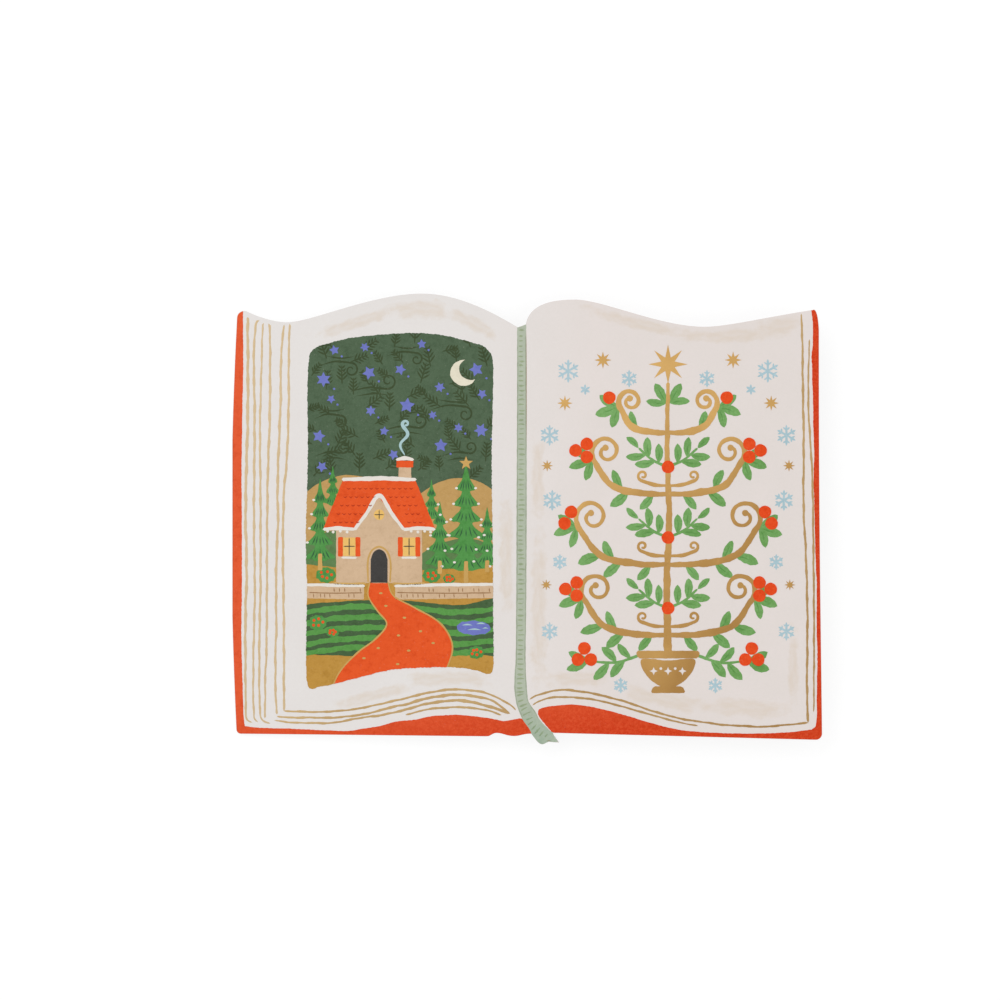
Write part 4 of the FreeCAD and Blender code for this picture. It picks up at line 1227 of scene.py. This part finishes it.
gold_stroke([at(0, -32), at(-0.3, -16), at(0.25, 0), at(-0.2, 16), at(0, 32.4)], (1.9, 1.6, 1.4, 1.2, 0.8), 5)
for number, (y, reach, rise, size, count) in enumerate(SCROLLS):
    for side in (-1, 1):
        seed = 100 * number + 10 * (side + 1)
        outward = 0 if side > 0 else 180
        way = [at(0, y), at(reach * 0.34, y + rise * 0.02, side), at(reach * 0.76, y + rise * 0.26, side),
               at(reach, y + rise, side)]
        line = curl(way, size, 1.3, side)
        gold_stroke(line, (1, 1.7, 1.5, 1.15, 0.9, 0.8), seed)
        gold_loops.append(disc(line[-1], 0.75, seed))
        branch = smooth(way, 0.3)
        along = travel(branch)
        for place, over, length in SCROLL_LEAVES:
            if (number == 3 and over < 0) or (number == 2 and place > 0.6):
                continue
            spot = min(np.searchsorted(along, along[-1] * place), len(branch) - 2)
            heading = branch[spot + 1] - branch[spot - 1]
            angle = math.degrees(math.atan2(heading[1], heading[0])) + side * over * 50
            add_leaf(branch[spot], angle, length - 0.7 * (number == 3), seed + int(place * 100))
        # a fan of leaves with berries at the outer bend
        spray = branch[-1] + (side * 0.5, 0)
        for lean, length in ((-74, 5), (-18, 5.6), (34, 5.2)):
            add_leaf(spray, outward + side * lean, length, seed + lean)
        add_berries(spray + (side * 2, 2.3), count, 90 + side * 30, seed)
        if number < 3:
            # a small tendril and a leafy twig between this scroll and the next
            tendril = curl([at(0, y + 2), at(3.4, y + 2.2, side), at(6.4, y + 3.2, side)], 1.25, 1.1, side)
            gold_stroke(tendril, (0.5, 0.95, 0.8, 0.6, 0.5), seed + 3)
            twig = smooth([at(0, y + 6.4), at(3.6, y + 8, side), at(7, y + 10.9, side)], 0.3)
            stems.append(pen(twig, (0.7, 0.6, 0.5), seed=number))
            last = len(twig) - 1
            for place, lean, length in ((8, 50, 4.6), (11, -48, 4.9), (17, 46, 4.8), (20, -46, 4.8),
                                        (last, 2, 3.8)):
                add_leaf(twig[min(place, last)], 40 * side + outward + side * lean, length,
                         50 * number + place + side)
    if number < 3:
        add_berries(at(0, y + 6.4), 1, 0, number)
for side in (-1, 1):
    outward = 0 if side > 0 else 180
    # the crown: a last pair of leaves under the star, and leafy twigs beside the bowl
    for lean, length in ((30, 5.4), (84, 4.8)):
        add_leaf(at(0.4, 27.4, side), 90 - side * lean, length, 31 + lean)
    twig = smooth([at(6.6, -32.2, side), at(12.5, -34, side), at(18.8, -33.6, side)], 0.3)
    stems.append(pen(twig, (0.7, 0.65, 0.5), seed=9))
    last = len(twig) - 1
    for place, lean, length in ((8, 48, 4.6), (13, -50, 5.2), (20, 46, 5), (26, -48, 5.4), (last, -22, 5.6),
                                (last, 24, 5.2)):
        add_leaf(twig[min(place, last)], outward + side * lean, length, 70 + place + side)
    add_berries(twig[-1] + (side, 1.2), 3, 90, 5)

# the footed bowl with cut-out stars, and the stars and snow stars between the scrolls
cup = [at(-6.4, -33.4), at(-5.4, -36.6), at(-2.2, -39.4), at(0, -39.7), at(2.2, -39.4), at(5.4, -36.6),
       at(6.4, -33.4), at(0, -33.5)]
bowl = [
    patch([at(-7.6, -31.2), at(7.6, -31.2), at(7.2, -33), at(-7.2, -33)], 1, soft=0.5),
    waver(smooth(cup, 0.4, closed=True), 0.05, 3, 2),
    patch([at(-3.4, -39.6), at(3.4, -39.6), at(4.2, -41.2), at(-4.2, -41.2)], 3, soft=0.4)]
bowl_gaps = [star(at(x, -36), 4, 1, 0.42) for x in (-3.4, 0, 3.4)]
bowl_gaps += [disc(at(x, -35.4), 0.34, 1) for x in (-1.7, 1.7)]
gold_stars = [star(at(0, 36.6), 8, 4.6, 1.7)]
for x, y, size in ((15.4, 37.6, 2), (24.4, 27.4, 1.8), (28.6, 12.6, 1.4), (28.8, -15.6, 1.3)):
    gold_stars += [star(at(x, y, side), 8, size, size * 0.42) for side in (-1, 1)]
for x, y, size in ((23.6, 35, 2.8), (9.2, 33.2, 2.1), (28, 19.8, 2.5), (27.4, 4.4, 2.5), (25.6, -10.2, 1.9),
                   (28, -26.6, 2.2), (11.2, -39.4, 1.9), (19.6, 30.6, 1.3)):
    for side in (-1, 1):
        add_snow_star(at(x, y, side), size, int(10 * x))

# this foil is painted from bright at the upper left to deep at the lower right as painted shade
page_gold = foil("page_gold", (226, 182, 110), (162, 118, 58))
lay_print("tree_scrolls", gold_loops + bowl + gold_stars, 4, page_gold, cut_out=bowl_gaps, ridge=gold_ridges,
          ridge_lift=0.02)
# painted shade: the leaves, veins, berries and snow stars are painted in their deeper colour towards the
# right
leaf_green = ink("leaf_green", (122, 168, 102), thin=16, dark=-24, cloud=0.5, deep=(92, 144, 70))
lay_print("tree_leaves", stems + leaves, 2, leaf_green)
vein_green = ink("vein_green", (106, 156, 88), thin=10, dark=-8, deep=(78, 131, 60))
lay_print("tree_veins", veins, 3, vein_green)
berry_red = ink("berry_red", (231, 80, 30), thin=14, dark=-24, deep=(217, 66, 20))
lay_print("tree_berries", berries, 7, berry_red)
frost_blue = ink("frost_blue", (174, 199, 209), thin=10, dark=-16, deep=(162, 190, 198))
lay_print("tree_frost", frost, 1, frost_blue)

# Floor, light and camera
# A plain white table, one large soft lamp at the upper left with a weaker one opposite, and a long
# lens straight above the card.

AIM_X = -6.36
AIM_Y = 4.48
FRAME_WIDTH = 236.9
LENS = 400.0
SENSOR = 36.0
FLOOR_RADIUS = 4.0
FLOOR_SIDES = 24
FLOOR_DROP = 0.00002
CARD_MIDDLE_Z = 0.004

floor_mesh = bpy.data.meshes.new("floor")
corner_turns = [2 * math.pi * i / FLOOR_SIDES for i in range(FLOOR_SIDES)]
floor_points = [(FLOOR_RADIUS * math.cos(turn), FLOOR_RADIUS * math.sin(turn), 0) for turn in corner_turns]
floor_mesh.from_pydata(floor_points, [], [tuple(range(FLOOR_SIDES))])
floor = bpy.data.objects.new("floor", floor_mesh)
bpy.context.scene.collection.objects.link(floor)
floor.location.z = -FLOOR_DROP
floor_paint = bpy.data.materials.new("floor_paint")
floor_paint.use_nodes = True
tree = floor_paint.node_tree
tree.nodes.clear()
matte = add(tree, "ShaderNodeBsdfDiffuse", Color=(0.22, 0.22, 0.22, 1))
glow = add(tree, "ShaderNodeEmission", Strength=0.82)
path = add(tree, "ShaderNodeLightPath")
seen = maths(tree, "MAXIMUM", path.outputs["Is Camera Ray"], path.outputs["Is Glossy Ray"])
seen = maths(tree, "MAXIMUM", seen, path.outputs["Is Transmission Ray"])
black = add(tree, "ShaderNodeEmission", Strength=0.0)
switch = add(tree, "ShaderNodeMixShader", {0: seen, 1: black.outputs[0], 2: glow.outputs[0]})
both = add(tree, "ShaderNodeAddShader", {0: matte.outputs[0], 1: switch.outputs[0]})
tree.links.new(both.outputs[0], add(tree, "ShaderNodeOutputMaterial").inputs["Surface"])
floor_mesh.materials.append(floor_paint)

world = bpy.data.worlds.new("studio")
bpy.context.scene.world = world
world.use_nodes = True
sky = world.node_tree.nodes["Background"]
sky.inputs["Color"].default_value = (1, 1, 1, 1)
sky.inputs["Strength"].default_value = 0.76

for name, place, power, size in (("key", (-0.75, 0.7, 1.1), 7.5, 1.3), ("fill", (0.9, -0.3, 0.9), 1.8, 1.2)):
    light = bpy.data.lights.new(name, "AREA")
    light.energy = power
    light.size = size
    lamp = bpy.data.objects.new(name, light)
    lamp.location = place
    lamp.rotation_euler = Vector(place).to_track_quat("Z", "Y").to_euler()
    lamp.visible_camera = False
    bpy.context.scene.collection.objects.link(lamp)

camera_data = bpy.data.cameras.new("camera")
camera_data.lens = LENS
camera_data.sensor_width = SENSOR
camera_data.clip_end = 20.0
camera = bpy.data.objects.new("camera", camera_data)
camera.location = (AIM_X * MM, AIM_Y * MM, FRAME_WIDTH * MM * LENS / SENSOR + CARD_MIDDLE_Z)
bpy.context.scene.collection.objects.link(camera)
bpy.context.scene.camera = camera
bpy.context.scene.view_settings.view_transform = "Standard"
